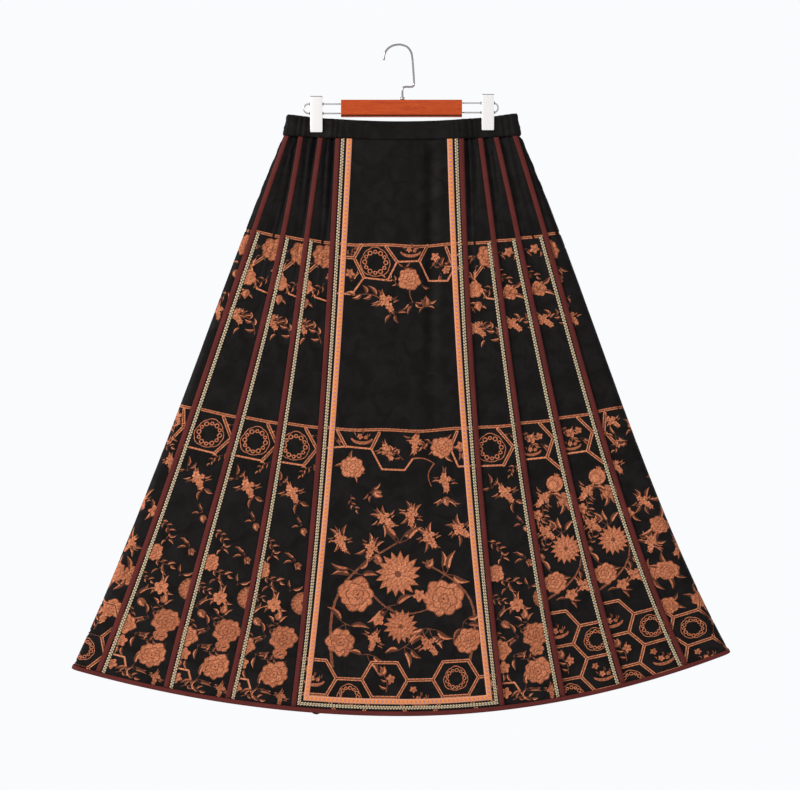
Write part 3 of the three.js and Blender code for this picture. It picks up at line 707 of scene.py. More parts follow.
def blossom(x, y, r, turn=0.0, tone=0.8, petals=5):
    shapes = []
    for i in range(petals):
        angle = turn + (i + shake(0.12) - 1) * 2 * math.pi / petals
        own = 0.48 * r * shake(0.16)
        px, py = x + 0.56 * r * math.cos(angle), y + 0.56 * r * math.sin(angle)
        shapes += lobed(px, py, own + 0.3, 3, 0.2, tone * 0.66, angle, 0.9, 4)
        shapes += lobed(px, py, own, 3, 0.2, tone * shake(0.06), angle, 0.88, 4)
    shapes += disc(x, y, 0.2 * r, 0.42, 7)
    shapes += disc(x, y, 0.09 * r, 0.9, 5)
    return shapes


def peony(x, y, r, turn=0.0, tone=0.78):
    # A full bloom: rings of notched petals round a small heart, no two alike
    shapes = []
    for ring, (at, size, petals) in enumerate(((0.64, 0.42, 9), (0.36, 0.34, 6), (0.1, 0.24, 3))):
        for i in range(petals):
            angle = turn + ring * 0.5 + i * 2 * math.pi / petals * shake(0.04)
            far, own = at * r * shake(0.12), size * r * shake(0.18)
            px, py = x + far * math.cos(angle), y + 0.92 * far * math.sin(angle)
            shapes += lobed(px, py, own, 5, 0.2, tone * 0.66, angle, 0.92, 3)
            qx, qy = px - 0.03 * r * math.cos(angle), py - 0.03 * r * math.sin(angle)
            inner = own - max(0.4, 0.04 * r)
            shapes += lobed(qx, qy, inner, 5, 0.2, tone * shake(0.07), angle, 0.92, 3)
    return shapes + disc(x, y, 0.07 * r, 0.4, 7)


def mum(x, y, r, turn=0.0, tone=0.82):
    # A chrysanthemum: rings of pointed petals
    shapes = []
    for ring, (share, petals) in enumerate(((1.0, 16), (0.74, 13), (0.48, 9))):
        for i in range(petals):
            angle = turn + ring * 0.3 + i * 2 * math.pi / petals
            start = (x + 0.12 * r * math.cos(angle), y + 0.12 * r * math.sin(angle))
            length, width = share * r * 0.9 * shake(0.06), share * r * 0.36
            shapes += leaf(*start, length, width, angle, tone * 0.72, 0.04, False)
            lighter = tone * (0.92 + 0.05 * ring)
            shapes += leaf(*start, length * 0.96, width * 0.76, angle, lighter, 0.04, False)
    return shapes + disc(x, y, 0.15 * r, 0.46, 9)


def bud(x, y, size, turn=0.0, tone=0.78):
    shapes = leaf(x, y, size * 0.9, size * 0.5, turn + 0.55, 0.48, rib=False)
    shapes += leaf(x, y, size * 0.9, size * 0.5, turn - 0.55, 0.48, rib=False)
    shapes += leaf(x, y, size * 1.25, size * 0.85, turn, tone * 0.72, rib=False)
    hx, hy = x + 0.12 * size * math.cos(turn), y + 0.12 * size * math.sin(turn)
    return shapes + leaf(hx, hy, size, size * 0.62, turn, tone)


def leafFan(x, y, size, turns, tone=0.5):
    # Slender leaves that leave a short stem one after the other
    shapes = []
    for i, turn in enumerate(turns):
        foot = 0.3 * size * shake(0.3)
        sx, sy = x + foot * math.cos(turn), y + foot * math.sin(turn)
        way = [(x, y), (mix(x, sx, 0.5), mix(y, sy, 0.5)), (sx, sy)]
        shapes += stem(way, max(0.7, size * 0.05), tone * 0.8)
        hand = (-1) ** i
        length = size * 0.9 * shake(0.16)
        shapes += leaf(sx, sy, length, size * 0.27, turn + 0.3 * hand, tone * shake(0.2), 0.14 * hand)
    return shapes


def sprig(x, y, reach, turn, side=1, tone=0.5, tip=True):
    # A bent stem with leaves in turn left and right of it
    end = (x + reach * math.cos(turn), y + reach * math.sin(turn))
    way = arch((x, y), end, 0.16 * side)
    shapes = stem(way, max(0.9, reach * 0.04), tone * 0.85)
    for i, here in enumerate(way[1:6]):
        hand = 1 if i % 2 else -1
        lean = turn + 0.75 * hand * shake(0.3)
        length = reach * 0.38 * shake(0.2)
        shapes += leaf(*here, length, reach * 0.13, lean, tone * shake(0.2), 0.16 * hand)
    if tip:
        shapes += leaf(*end, reach * 0.34, reach * 0.14, turn, tone * 1.2)
    return shapes


def cluster(x, y, r, turn=0.0, tone=0.82):
    # Small ragged blossoms along a slanting spray, with slender leaves round them
    c, s = math.cos(turn), math.sin(turn)

    def at(dx, dy):
        return x + r * (dx * c - dy * s), y + r * (dx * s + dy * c)
    shapes = []
    for i in range(8):
        angle = 0.3 + i * math.pi / 4
        sx, sy = at(0.82 * math.cos(angle), 0.56 * math.sin(angle))
        hand = (-1) ** i
        length = r * 0.8 * shake(0.3)
        shapes += leaf(sx, sy, length, r * 0.25, turn + angle + 0.4 * hand, 0.46 * shake(0.25), 0.16 * hand)
    spots = [(0.0, 0.0, 0.46), (0.56, 0.26, 0.42), (-0.52, -0.24, 0.4), (0.98, 0.5, 0.28),
             (0.12, -0.46, 0.32), (-0.26, 0.36, 0.3)]
    for i, (dx, dy, size) in enumerate(spots):
        shapes += blossom(*at(dx, dy), r * size * shake(0.1), turn + i, tone * shake(0.06))
    return shapes


def bar(start, end, width, tone):
    start, end = np.asarray(start, float), np.asarray(end, float)
    way = (end - start) / np.linalg.norm(end - start)
    side = np.array([-way[1], way[0]]) * width / 2
    return [(np.array([start + side, end + side, end - side, start - side]), tone)]


latticeLook = {"thin": 0.56, "tone": 0.86, "middle": 0.36, "middleTone": 0.3, "beadStep": 3.4}


def below(y, lines):
    return [((a[0], y + a[1]), (b[0], y + b[1]), double) for a, b, double in lines]


def lattice(lines, width=4.6):
    # Double lines have a dark middle with a row of beads; thin ones are a single line
    look = latticeLook
    shapes, middles = [], []
    for start, end, double in lines:
        own = width if double else width * look["thin"]
        shapes += bar(start, end, own, look["tone"])
        shapes += disc(*start, own / 2, look["tone"], 8) + disc(*end, own / 2, look["tone"], 8)
        if double:
            middles += bar(start, end, own * look["middle"], look["middleTone"])
            length = math.dist(start, end)
            for i in range(int(length // look["beadStep"])):
                share = (i + 0.5) * look["beadStep"] / length
                spot = (mix(start[0], end[0], share), mix(start[1], end[1], share))
                middles += disc(*spot, own * 0.11, 0.6, 5)
    return shapes + middles


def roundel(x, y, r, loops=12, turn=0.0):
    # A thin waved ring, and inside it a chain of open loops
    shapes = lobed(x, y, r, 8, 0.05, 0.76, turn, perLobe=6)
    shapes += lobed(x, y, r - 1.15, 8, 0.05, 0, turn, perLobe=6)
    for i in range(loops):
        angle = turn + i * 2 * math.pi / loops
        own = (0.135 if i % 2 else 0.165) * r
        px, py = x + 0.7 * r * math.cos(angle), y + 0.7 * r * math.sin(angle)
        shapes += disc(px, py, own, 0.78, 11)
        shapes += disc(px, py, own - 0.055 * r - 0.25, 0, 9)
        beside = angle + math.pi / loops
        shapes += disc(x + 0.66 * r * math.cos(beside), y + 0.66 * r * math.sin(beside), 0.055 * r, 0.62, 6)
    return shapes


def bowl(x, y, width, turn=0.0):
    angles = np.linspace(0.15, math.pi - 0.15, 12)
    outer = np.stack([-width / 2 * np.cos(angles), width * 0.3 * np.sin(angles)], axis=1)
    inner = np.stack([-width / 2 * 0.86 * np.cos(angles), width * 0.16 * np.sin(angles)], axis=1)[::-1]
    shapes = [(turned(np.concatenate([outer, inner]), x, y, turn), 0.66)]
    for i, (dx, dy) in enumerate(((-0.22, -0.02), (0.04, -0.12), (0.26, 0.0))):
        turns = (-2.4 + 0.5 * i, -0.7 - 0.3 * i)
        shapes += leafFan(x + dx * width, y + dy * width, width * 0.22, turns, 0.42)
    shapes += blossom(x - 0.08 * width, y - 0.06 * width, width * 0.13, 0.4, 0.8)
    shapes += blossom(x + 0.18 * width, y - 0.02 * width, width * 0.09, 1.1, 0.7)
    return shapes


def pomegranate(x, y, r, turn=0.0):
    shapes = leafFan(x, y, r * 1.9, (turn + 2.4, turn + 3.7, turn + 0.4), 0.48)
    shapes += disc(x, y, r + 0.5, 0.5, 18)
    shapes += disc(x, y, r, 0.82, 18)
    shapes += disc(x - 0.2 * r, y + 0.12 * r, r * 0.72, 0.68, 16)
    shapes += disc(x - 0.3 * r, y + 0.18 * r, r * 0.52, 0.86, 14)
    for i in range(3):
        shapes += leaf(x + 0.8 * r * math.cos(turn), y + 0.8 * r * math.sin(turn), r * 0.6, r * 0.3,
                       turn + (i - 1) * 0.6, 0.7, rib=False)
    return shapes


# Designs. x runs to the right as the piece is seen, y down from its waist seam
upperLine = 0.185 * tube["drop"]
lowerLine = 0.506 * tube["drop"]


def borderLine(y, left, right, wave=0.8):
    shapes = []
    xs = np.linspace(left, right, 17)
    line = np.stack([xs, y + wave * np.sin(xs * 0.06)], axis=1)
    for half, tone in ((2.1, 0.78), (0.55, 0.34)):
        shapes.append((np.concatenate([line - (0, half), (line + (0, half))[::-1]]), tone))
    return shapes


def drawn(y, rows):
    # Each row holds a motif, its x, how far below y it lies, and the rest that the motif takes
    shapes = []
    for motif, x, down, *rest in rows:
        shapes += motif(x, y + down, *rest)
    return shapes


def shifted(shapes, dx, dy):
    return [(outline + (dx, dy), tone) for outline, tone in shapes]


def goreUpper():
    y = upperLine
    shapes = borderLine(y, -60, 60)
    shapes += lattice(below(y, [
        ((-9, 52), (13, 27), True), ((-9, 52), (8, 84), False), ((8, 84), (34, 90), False),
        ((-9, 52), (-34, 40), False),
    ]), 4.4)
    shapes += drawn(y, [
        (leafFan, -4, 20, 11, (2.6, 3.5, 2.0), 0.62), (leafFan, 2, 32, 9, (2.2, 1.1), 0.4),
        (peony, 19, 21, 19, 0.4, 0.74), (sprig, 20, 62, 24, 2.5, -1, 0.46),
        (blossom, 27, 52, 6, 0.3, 0.66), (lobed, -9, 70, 13, 7, 0.2, 0.5, 0.2),
        (lobed, -9, 70, 12.2, 7, 0.2, 0.8, 0.2), (lobed, -7, 67, 7, 5, 0.25, 0.5, 0.9),
        (lobed, -7, 67, 6.3, 5, 0.25, 0.76, 0.9), (leafFan, -9, 57, 14, (-2.3, -1.1, -1.8), 0.6),
        (leafFan, -4, 92, 13, (2.2, 0.9, 3.0), 0.6), (bud, -4, 88, 12, 1.6, 0.92),
        (leafFan, -18, 90, 15, (1.9, 1.4), 0.4), (sprig, 24, 152, 36, -2.35, 1, 0.5),
        (cluster, -13, 128, 13, 0.2, 0.84), (leafFan, -2, 128, 14, (-0.7, 0.05), 0.6),
        (leaf, 0, 146, 13, 4, 2.1, 0.6),
    ])
    return shapes


def goreUpperSparse():
    # The outer right gores show less of the upper print
    y = upperLine
    shapes = borderLine(y, -60, 60)
    shapes += drawn(y, [
        (leafFan, -12, 16, 13, (0.2, 1.3, 2.6), 0.5), (leafFan, 12, 20, 12, (0.9, 2.2), 0.5),
        (blossom, 2, 18, 7, 0.4, 0.76), (bud, 20, 36, 11, 0.9, 0.76), (sprig, -20, 40, 24, 0.9, 1, 0.46),
        (leafFan, 16, 58, 13, (0.3, 1.7, -0.9), 0.44), (peony, -6, 78, 12, 0.5, 0.76),
        (leafFan, -6, 78, 22, (-0.9, 0.8, 2.4, 3.7), 0.5), (sprig, 22, 140, 30, -2.35, 1, 0.5),
        (cluster, -10, 126, 12, 0.3, 0.82),
    ])
    return shapes


def goreLowerField():
    # Blossoms and leaves that grow denser towards the hem
    y = lowerLine
    shapes = drawn(y, [
        (sprig, 30, 60, 20, 2.3, 1, 0.55), (bud, 36, 66, 12, -1.3, 0.8),
        (leafFan, -12, 92, 17, (-2.0, -2.9, -1.3), 0.5), (leafFan, 14, 112, 17, (1.3, 0.6, 0.1), 0.5),
        (cluster, 6, 101, 13, 0.5, 0.86), (bud, 30, 152, 10, 1.3),
        (leafFan, 27, 148, 13, (-2.6, -1.9, 2.6), 0.55), (bud, 27, 204, 10, 1.0),
        (leafFan, 24, 200, 15, (-2.9, -2.2, 2.5, 1.6), 0.5), (sprig, -30, 170, 26, 0.75, -1, 0.5),
        (leafFan, -12, 194, 12, (-0.6, 0.9, 1.7), 0.55), (sprig, -22, 222, 30, 0.42, 1, 0.52),
        (peony, -24, 220, 13, 0.7, 0.8), (leafFan, -8, 240, 13, (0.5, 1.2, 2.0), 0.55),
        (sprig, -34, 250, 22, 0.6, 1, 0.5), (disc, 44, 264, 17, 0.5, 20), (mum, 44, 264, 17, 0.2, 0.76),
        (leafFan, 22, 248, 16, (-0.7, -1.5), 0.5), (sprig, -4, 300, 24, 0.4, 1, 0.44),
        (sprig, -36, 306, 22, 1.2, -1, 0.4), (sprig, 34, 352, 22, 1.9, 1, 0.44),
        (leafFan, 2, 270, 17, (0.1, 1.0, 2.1, 3.1, 4.3, 5.2), 0.6), (blossom, 2, 270, 10, 0.5, 0.82, 6),
        (leafFan, -30, 288, 18, (-1.2, -0.4, 0.5, 2.6), 0.46), (bud, -22, 292, 12, 0.9),
        (leafFan, 10, 298, 16, (-2.7, -0.5, 0.3), 0.6), (bud, 10, 292, 11, -1.5, 0.9),
        (leafFan, -2, 318, 18, (2.2, 3.1, -2.3), 0.48), (peony, 24, 318, 19, 1.3, 0.72),
        (lobed, 22, 340, 11, 6, 0.2, 0.46), (lobed, 22, 340, 10.3, 6, 0.2, 0.7),
        (peony, -33, 334, 16, 2.2, 0.76), (leafFan, -14, 346, 18, (-0.5, 0.4, 1.3), 0.5),
        (sprig, -4, 352, 26, -0.3, 1, 0.5), (blossom, -30, 362, 9, 0.9, 0.8),
        (leafFan, -30, 366, 16, (0.9, 2.0, 3.2), 0.5), (peony, 19, 374, 21, 0.1, 0.78),
    ])
    shapes += lattice(below(y, [((-52, 385), (-18, 386), False), ((-18, 386), (-6, 412), False)]))
    shapes += drawn(y, [
        (leafFan, -4, 398, 20, (-0.2, 0.5, 2.5, -1.1), 0.5), (blossom, -34, 400, 9, 0.2, 0.7),
        (cluster, 34, 406, 9, 1.1, 0.72), (sprig, -24, 412, 28, 0.05, -1, 0.56),
    ])
    return shapes


def goreChain():
    y = lowerLine
    shapes = borderLine(y, -60, 60)
    shapes += leafFan(30, y + 12, 12, (0.4, 1.4, 2.4), 0.46)
    shapes += lattice(below(y, [
        ((13, 4), (33, 33), True), ((33, 33), (16, 59), True), ((33, 33), (52, 31), True),
        ((16, 59), (-30, 57), False), ((-30, 57), (-44, 33), False),
    ]))
    return shapes + roundel(0, y + 32, 22)


def goreFlowerCell():
    y = lowerLine
    shapes = borderLine(y, -60, 60)
    shapes += drawn(y, [
        (leafFan, -12, 30, 13, (-2.2, -1.0, 0.4, 2.4), 0.55), (blossom, -12, 24, 7, 0.1, 0.78),
        (bowl, -14, 42, 28), (sprig, -24, 14, 20, 0.5, 1, 0.5), (leafFan, 2, 34, 12, (0.2, 1.4, 2.9), 0.5),
        (blossom, 0, 22, 5, 0.8, 0.72), (leafFan, -28, 34, 12, (0.9, 2.4, 3.6), 0.46),
    ])
    shapes += lattice(below(y, [
        ((4, 3), (20, 28), True), ((20, 28), (6, 55), True), ((6, 55), (-40, 54), False),
        ((6, 55), (30, 84), True), ((20, 28), (46, 26), False),
    ]))
    shapes += drawn(y, [
        (leafFan, 31, 52, 12, (1.2, 2.2, 0.2), 0.5), (pomegranate, 10, 96, 12, -1.2),
        (cluster, -11, 116, 12, 1.9, 0.84), (sprig, -14, 128, 26, 1.3, 1, 0.55),
        (leafFan, 10, 118, 14, (0.9, 1.9), 0.55),
    ])
    return shapes


hexCell = {"halfWidth": 34, "halfHeight": 26, "lean": 15}


def hexRows(top, rows, left, cells):
    # Rows of flat-topped cells with slanting sides, each filled in turn
    lines, fills = [], []
    halfWidth, halfHeight = hexCell["halfWidth"], hexCell["halfHeight"]
    flat = halfWidth - hexCell["lean"]
    for row in range(rows):
        for column in range(cells):
            x = left + column * (halfWidth + flat)
            y = top + row * 2 * halfHeight + (halfHeight if column % 2 else 0)
            corners = [(x - flat, y - halfHeight), (x + flat, y - halfHeight), (x + halfWidth, y),
                       (x + flat, y + halfHeight), (x - flat, y + halfHeight), (x - halfWidth, y)]
            lines += [(corners[i], corners[(i + 1) % 6], True) for i in range(6)]
            kind = (row + 2 * column) % 3
            if kind == 0:
                fills += bowl(x, y + 4, 34) + blossom(x - 10, y - 12, 5, 0.3, 0.7)
            elif kind == 1:
                fills += sprig(x + 2, y + 18, 30, -1.8, 1, 0.56) + bud(x - 5, y - 8, 11, -1.2)
                fills += blossom(x + 9, y - 2, 6, 0.8, 0.76)
            else:
                fills += roundel(x, y, 18.5, 13)
    return fills + lattice(lines)


def goreBlooms():
    # The right gores' lower half: large blooms on a bent branch above rows of cells
    y = lowerLine
    shapes = stem(arch((-34, y + 268), (26, y + 160), 0.24, 9), 3.2, 0.5)
    shapes += drawn(y, [
        (leafFan, 6, 172, 24, (-2.4, -1.4, 2.7, -0.4), 0.52),
        (leafFan, -16, 232, 24, (0.1, 2.9, 3.9, 1.2), 0.5), (mum, 8, 196, 23, 0.3, 0.84),
        (leafFan, 22, 226, 20, (0.3, 1.1, -0.5, 1.9), 0.5), (peony, -18, 244, 17, 0.8, 0.8),
        (cluster, 24, 256, 13, 0.3, 0.8), (sprig, -34, 196, 26, -0.9, 1, 0.5), (bud, 26, 160, 12, -0.6),
        (bud, -28, 208, 11, -2.2), (leafFan, -2, 270, 16, (0.2, 1.4, 2.8), 0.5),
        (blossom, 2, 266, 9, 0.4, 0.82), (cluster, -16, 166, 12, 0.4, 0.82),
        (peony, 22, 122, 12, 0.8, 0.78), (leafFan, 24, 122, 22, (1.2, 2.4, 3.4), 0.5),
        (blossom, -24, 140, 8, 0.2, 0.8), (leafFan, -24, 140, 16, (0.6, 1.9, 3.6), 0.46),
    ])
    shapes += hexRows(y + 316, 3, -30, 3)
    return shapes


def sideDesign(side):
    # x is measured from the middle of the side fold
    y = lowerLine
    sign = 1 if side == "left" else -1
    shapes = borderLine(upperLine, -90, 90) + borderLine(y, -90, 90)
    for turn in (1, -1):
        x = turn * 24
        shapes += peony(x - 6, upperLine + 22, 17, 0.3, 0.74)
        shapes += leafFan(x, upperLine + 50, 14, (0.4, 1.6, 2.8), 0.5)
        shapes += bud(x - 4, upperLine + 62, 11, 1.2) + sprig(x + 4, upperLine + 96, 26, 2.2, 1, 0.5)
        shapes += cluster(x - 6, upperLine + 128, 11, 0.6, 0.8)
    lines = [
        ((-16, 4), (-28, 30), True), ((-28, 30), (-14, 56), True), ((-14, 56), (26, 56), False),
        ((26, 56), (38, 30), True), ((38, 30), (28, 4), True), ((38, 30), (60, 30), True),
        ((-28, 30), (-52, 30), True),
    ]
    shapes += leafFan(8, y + 34, 17, (-2.5, -1.5, -0.6, 0.6, 2.4), 0.56) + blossom(8, y + 28, 9, 0.3, 0.76)
    turnedLines = [((sign * a[0], a[1]), (sign * b[0], b[1]), double) for a, b, double in lines]
    shapes += lattice(below(y, turnedLines))
    shapes += drawn(y, [
        (blossom, sign * 48, 20, 7, 0.6, 0.76), (leafFan, sign * 48, 26, 13, (0.2, 1.4, 2.8), 0.5),
        (cluster, sign * 22, 18, 10, 0.4, 0.8), (leafFan, sign * 24, 42, 15, (0.4, 1.9, 3.3, 4.8), 0.5),
        (sprig, sign * 10, 52, 24, 0.4 if side == 'left' else 2.7, 1, 0.5),
        (cluster, sign * 40, 84, 11, 0.6, 0.82), (leafFan, sign * 44, 160, 18, (0.7, 2.2, 4.0), 0.5),
        (blossom, sign * 46, 160, 9, 0.4, 0.8), (peony, sign * 52, 262, 15, 0.3, 0.78),
        (leafFan, sign * 52, 262, 25, (0.9, 2.4, 3.9, 5.3), 0.5),
    ])
    for i, (x, dy) in enumerate(((-20, 120), (18, 148), (-40, 186), (30, 214), (-8, 232))):
        shapes += leafFan(sign * x, y + dy, 19, (0.3 + i, 1.7 + i, 3.2 + i, 4.6 + i), 0.5)
        shapes += cluster(sign * x, y + dy, 12, 0.5 * i, 0.84)
    for i, (x, dy, r) in enumerate(((24, 262, 17), (-30, 284, 19), (44, 318, 15), (-4, 322, 14))):
        shapes += leafFan(sign * x, y + dy, r * 1.5, (0.5 + i, 1.9 + i, 3.4 + i, 5.0 + i), 0.5)
        shapes += peony(sign * x, y + dy, r, i, 0.78)
    if side == "right":
        more = ((-38, 96, 13), (-22, 150, 15), (-44, 236, 17), (-50, 300, 16), (8, 190, 15))
        for i, (x, dy, r) in enumerate(more):
            shapes += leafFan(sign * x, y + dy, r * 1.7, (0.9 + i, 2.5 + i, 4.1 + i, 5.4 + i), 0.5)
            shapes += peony(sign * x, y + dy, r, i, 0.78)
    shapes += hexRows(y + 338, 3, -78, 4)
    return shapes


def panelUpper():
    y = upperLine
    shapes = borderLine(y, -110, 110, 1.2)
    shapes += drawn(y, [
        (leafFan, -76, 56, 15, (-1.3, -0.6, -2.1), 0.5), (blossom, -78, 44, 7, 0.2, 0.7),
        (sprig, -84, 16, 18, -0.6, 1, 0.5), (bowl, 13, 8, 32), (leafFan, 12, 4, 12, (-0.4, -2.7), 0.56),
        (blossom, 50, 18, 7, 0.3, 0.76), (blossom, 66, 38, 6, 0.8, 0.78),
        (sprig, 42, 34, 22, -0.3, -1, 0.46), (sprig, 54, 32, 30, -0.55, 1, 0.52),
        (leafFan, 58, 42, 12, (1.2, 2.2), 0.44),
    ])
    shapes += lattice(below(y, [
        ((-71.7, 20), (-60.3, 0), True), ((-71.7, 20), (-57, 49), True), ((-71.7, 20), (-96, 21), True),
        ((-57, 49), (-75, 75), False), ((-75, 75), (-100, 75), False), ((-57, 49), (-21.5, 52), False),
        ((-21.5, 52), (-7.4, 24), False), ((-24.2, 1), (-7.4, 24), True), ((-7.4, 24), (26, 23), False),
        ((26, 23), (38, 0), True), ((26, 23), (40, 53), False), ((40, 53), (68, 54), False),
        ((68, 54), (78, 36), False), ((78, 36), (66, 4), True), ((78, 36), (104, 36), True),
    ]))
    shapes += drawn(y, [
        (roundel, -40, 25.5, 22.5), (leafFan, 4, 34, 12, (-1.2, -2.2, -0.3), 0.5),
        (sprig, -6, 60, 22, -2.6, 1, 0.56),
    ])
    shapes += stem(arch((12, y + 62), (16, y + 84), 0.1), 1.8, 0.5)
    shapes += drawn(y, [
        (leafFan, 16, 84, 15, (0.4, 2.7, 1.7), 0.5), (leafFan, 30, 60, 10, (0.1, 1.0), 0.6),
        (peony, 11, 50, 16.5, 0.4, 0.82), (bud, 34, 92, 14, -1.5, 0.72),
        (leafFan, 36, 88, 14, (-0.6, 0.7, 2.0, 3.6), 0.5), (sprig, -24, 86, 46, 3.35, 1, 0.56),
        (cluster, -24, 84, 13.5, 0.5, 0.84), (leafFan, -14, 98, 19, (0.9, 0.3, 1.9), 0.52),
    ])
    return shapes


def panelLower():
    y = lowerLine
    shapes = borderLine(y, -130, 130, 1.2)
    shapes += drawn(y, [
        (bowl, -60, 12, 34), (leafFan, -100, 14, 13, (0.2, 1.2), 0.5), (cluster, -22, 30, 12, 0.6, 0.82),
        (sprig, 2, 44, 30, -2.7, 1, 0.5), (blossom, 88, 26, 8, 0.5, 0.78),
        (leafFan, 88, 30, 14, (1.0, 2.0, 3.0, -0.6), 0.5), (cluster, 20, 18, 13, 1.2, 0.82),
        (sprig, 52, 20, 26, 2.9, 1, 0.52),
    ])
    shapes += lattice(below(y, [
        ((-84, 26), (-46, 28), False), ((-46, 28), (-34, 4), True), ((-84, 26), (-96, 4), True),
        ((-46, 28), (-30, 58), False), ((-30, 58), (4, 59), False), ((4, 59), (16, 42), False),
        ((-84, 26), (-112, 30), False), ((72, 28), (82, 4), True), ((72, 28), (84, 56), False),
        ((84, 56), (112, 56), False),
    ]))
    shapes += stem(arch((16, y + 42), (48, y + 50), -0.12), 2.2, 0.62)
    shapes += stem(arch((48, y + 50), (44, y + 84), 0.2), 2, 0.6)
    shapes += drawn(y, [
        (leafFan, 60, 30, 20, (0.6, -0.8, 2.6, 4.0), 0.5), (peony, 60, 26, 17, 1.0, 0.8),
        (leafFan, -78, 54, 21, (0.2, 1.4, 2.8, -1.2), 0.5), (peony, -74, 56, 17.5, 0.2, 0.82),
        (bud, -42, 90, 13, 0.6), (leafFan, -46, 92, 14, (-1.0, 0.3, 1.5, 2.6), 0.52),
        (cluster, 64, 76, 13, 0.9, 0.84), (bud, 66, 100, 12, 1.4, 0.9),
        (leafFan, 66, 102, 17, (0.2, 1.0, 2.2, 3.0), 0.56), (sprig, -76, 98, 22, 1.2, 1, 0.5),
    ])
    # Generic garden of large blooms on two scrolling branches, over a row of cells
    shapes += stem(arch((-104, y + 356), (-8, y + 168), -0.2, 13), 4.6, 0.5)
    shapes += stem(arch((100, y + 350), (30, y + 196), 0.24, 13), 4.2, 0.5)
    shapes += stem(arch((-52, y + 236), (52, y + 262), 0.22, 11), 3.2, 0.48)
    fans = [
        (-4, 168, 34, (-2.6, -1.9, -1.1, -0.4)), (-68, 214, 30, (2.8, 3.7, -1.2, 0.3)),
        (64, 216, 32, (-1.9, -0.9, 0.1, 2.4)), (-20, 262, 34, (1.9, 2.7, 0.7, -0.2)),
        (40, 296, 32, (0.2, 1.2, 2.2, 3.2)), (-84, 290, 30, (1.6, 2.6, 3.6, 0.4)),
        (92, 288, 26, (-0.7, 0.6, 1.8)), (4, 322, 28, (0.4, 1.6, 2.6, -0.6)), (-52, 334, 26, (0.2, 1.3, 3.0)),
    ]
    for i, (x, dy, size, turns) in enumerate(fans):
        shapes += leafFan(x, y + dy, size, turns, 0.5 + 0.04 * (i % 3))
    small = (
        (-26, 132, 0.2), (14, 126, 1.1), (-92, 166, 0.7), (86, 150, 0.2), (-46, 176, 1.4), (40, 160, 0.5),
    )
    for x, dy, turn in small:
        shapes += leafFan(x, y + dy, 20, (turn, turn + 1.6, turn + 3.0, turn + 4.6), 0.52)
        shapes += cluster(x, y + dy, 13, turn, 0.84)
    shapes += drawn(y, [
        (mum, -6, 214, 34, 0.1, 0.86), (peony, -66, 246, 27, 0.6, 0.8), (peony, 62, 252, 29, 1.9, 0.82),
        (mum, -2, 292, 25, 0.5, 0.8), (peony, -92, 318, 21, 2.5, 0.76), (peony, 98, 316, 19, 0.2, 0.78),
        (cluster, 40, 320, 14, 0.4, 0.8), (cluster, -42, 312, 13, 1.4, 0.82),
        (blossom, 26, 246, 9, 0.3, 0.84), (blossom, -36, 282, 9, 0.9, 0.82), (bud, -34, 200, 13, -2.0),
        (bud, 36, 204, 13, -0.9),
    ])
    shapes += hexRows(y + 372, 1, -132, 6)
    return shapes


# Printed cloth: one sheet of triangles whose edges follow the print, and a plain one behind it
clothGrid = {
    "sameTone": 0.02, "keptClear": 1.6, "edge": 9, "waist": 2.5, "hem": 5, "behind": 1.6,
    "panel": (5.5, 6.5), "gore": (4.6, 6.5), "side": (4.2, 6.5),
}


def rowsBetween(start, end, step):
    return np.linspace(start, end, max(2, int(round((end - start) / step)) + 1))


def turnsLeft(ring):
    ring = np.asarray(ring)
    return np.sum(ring[:, 0] * np.roll(ring[:, 1], -1) - np.roll(ring[:, 0], -1) * ring[:, 1]) > 0


def outlineFace(outline):
    ring = list(range(len(outline)))
    return ring if turnsLeft(outline) else ring[::-1]


def clothTriangles(outline, inner, printed, lines):
    # Triangles that fill the outline and keep its edge and the lines of the print
    points = list(outline) + list(inner) + list(printed)
    first = len(outline) + len(inner)
    edges = [(first + a, first + b) for a, b in lines]
    corners = [Vector(p) for p in points]
    result = geometry.delaunay_2d_cdt(corners, edges, [outlineFace(outline)], 1, 1e-3, True)
    cells = [cell for cell, owner in zip(result[2], result[5]) if owner]
    return np.array([tuple(p) for p in result[0]]), result[3], cells


def visiblePrint(outline, motifs):
    # The lines where the tone changes, without what later motifs cover, and the tone at any spot
    points, faces, tones = list(outline), [outlineFace(outline)], [0.0]
    for ring, tone in motifs:
        faces.append(list(range(len(points), len(points) + len(ring))))
        points += [tuple(p) for p in (ring if turnsLeft(ring) else ring[::-1])]
        tones.append(tone)
    result = geometry.delaunay_2d_cdt([Vector(p) for p in points], [], faces, 1, 1e-4, True)
    owned = [(cell, owner) for cell, owner in zip(result[2], result[5]) if owner and min(owner) == 0]
    kept = [(cell, tones[max(owner)]) for cell, owner in owned]
    spots = [tuple(p) for p in result[0]]
    beside = {}
    for cell, tone in kept:
        for a, b in zip(cell, cell[1:] + cell[:1]):
            beside.setdefault((min(a, b), max(a, b)), []).append(tone)
    shared = [(edge, both) for edge, both in beside.items() if len(both) == 2]
    lines = [edge for edge, both in shared if abs(both[0] - both[1]) > clothGrid["sameTone"]]
    used = sorted({i for edge in lines for i in edge})
    renamed = {old: new for new, old in enumerate(used)}
    flat = BVHTree.FromPolygons([(x, y, 0) for x, y in spots], [cell for cell, _ in kept])

    def toneAt(spot):
        return kept[flat.find_nearest((spot[0], spot[1], 0))[2]][1]
    return [spots[i] for i in used], [(renamed[a], renamed[b]) for a, b in lines], toneAt


def clearOf(printed, points):
    # Inner points too near the print's own points only make slivers
    if not printed:
        return points
    tree = KDTree(len(printed))
    for index, (x, y) in enumerate(printed):
        tree.insert((x, y, 0), index)
    tree.balance()
    return [(x, y) for x, y in points if tree.find((x, y, 0))[2] > clothGrid["keptClear"]]


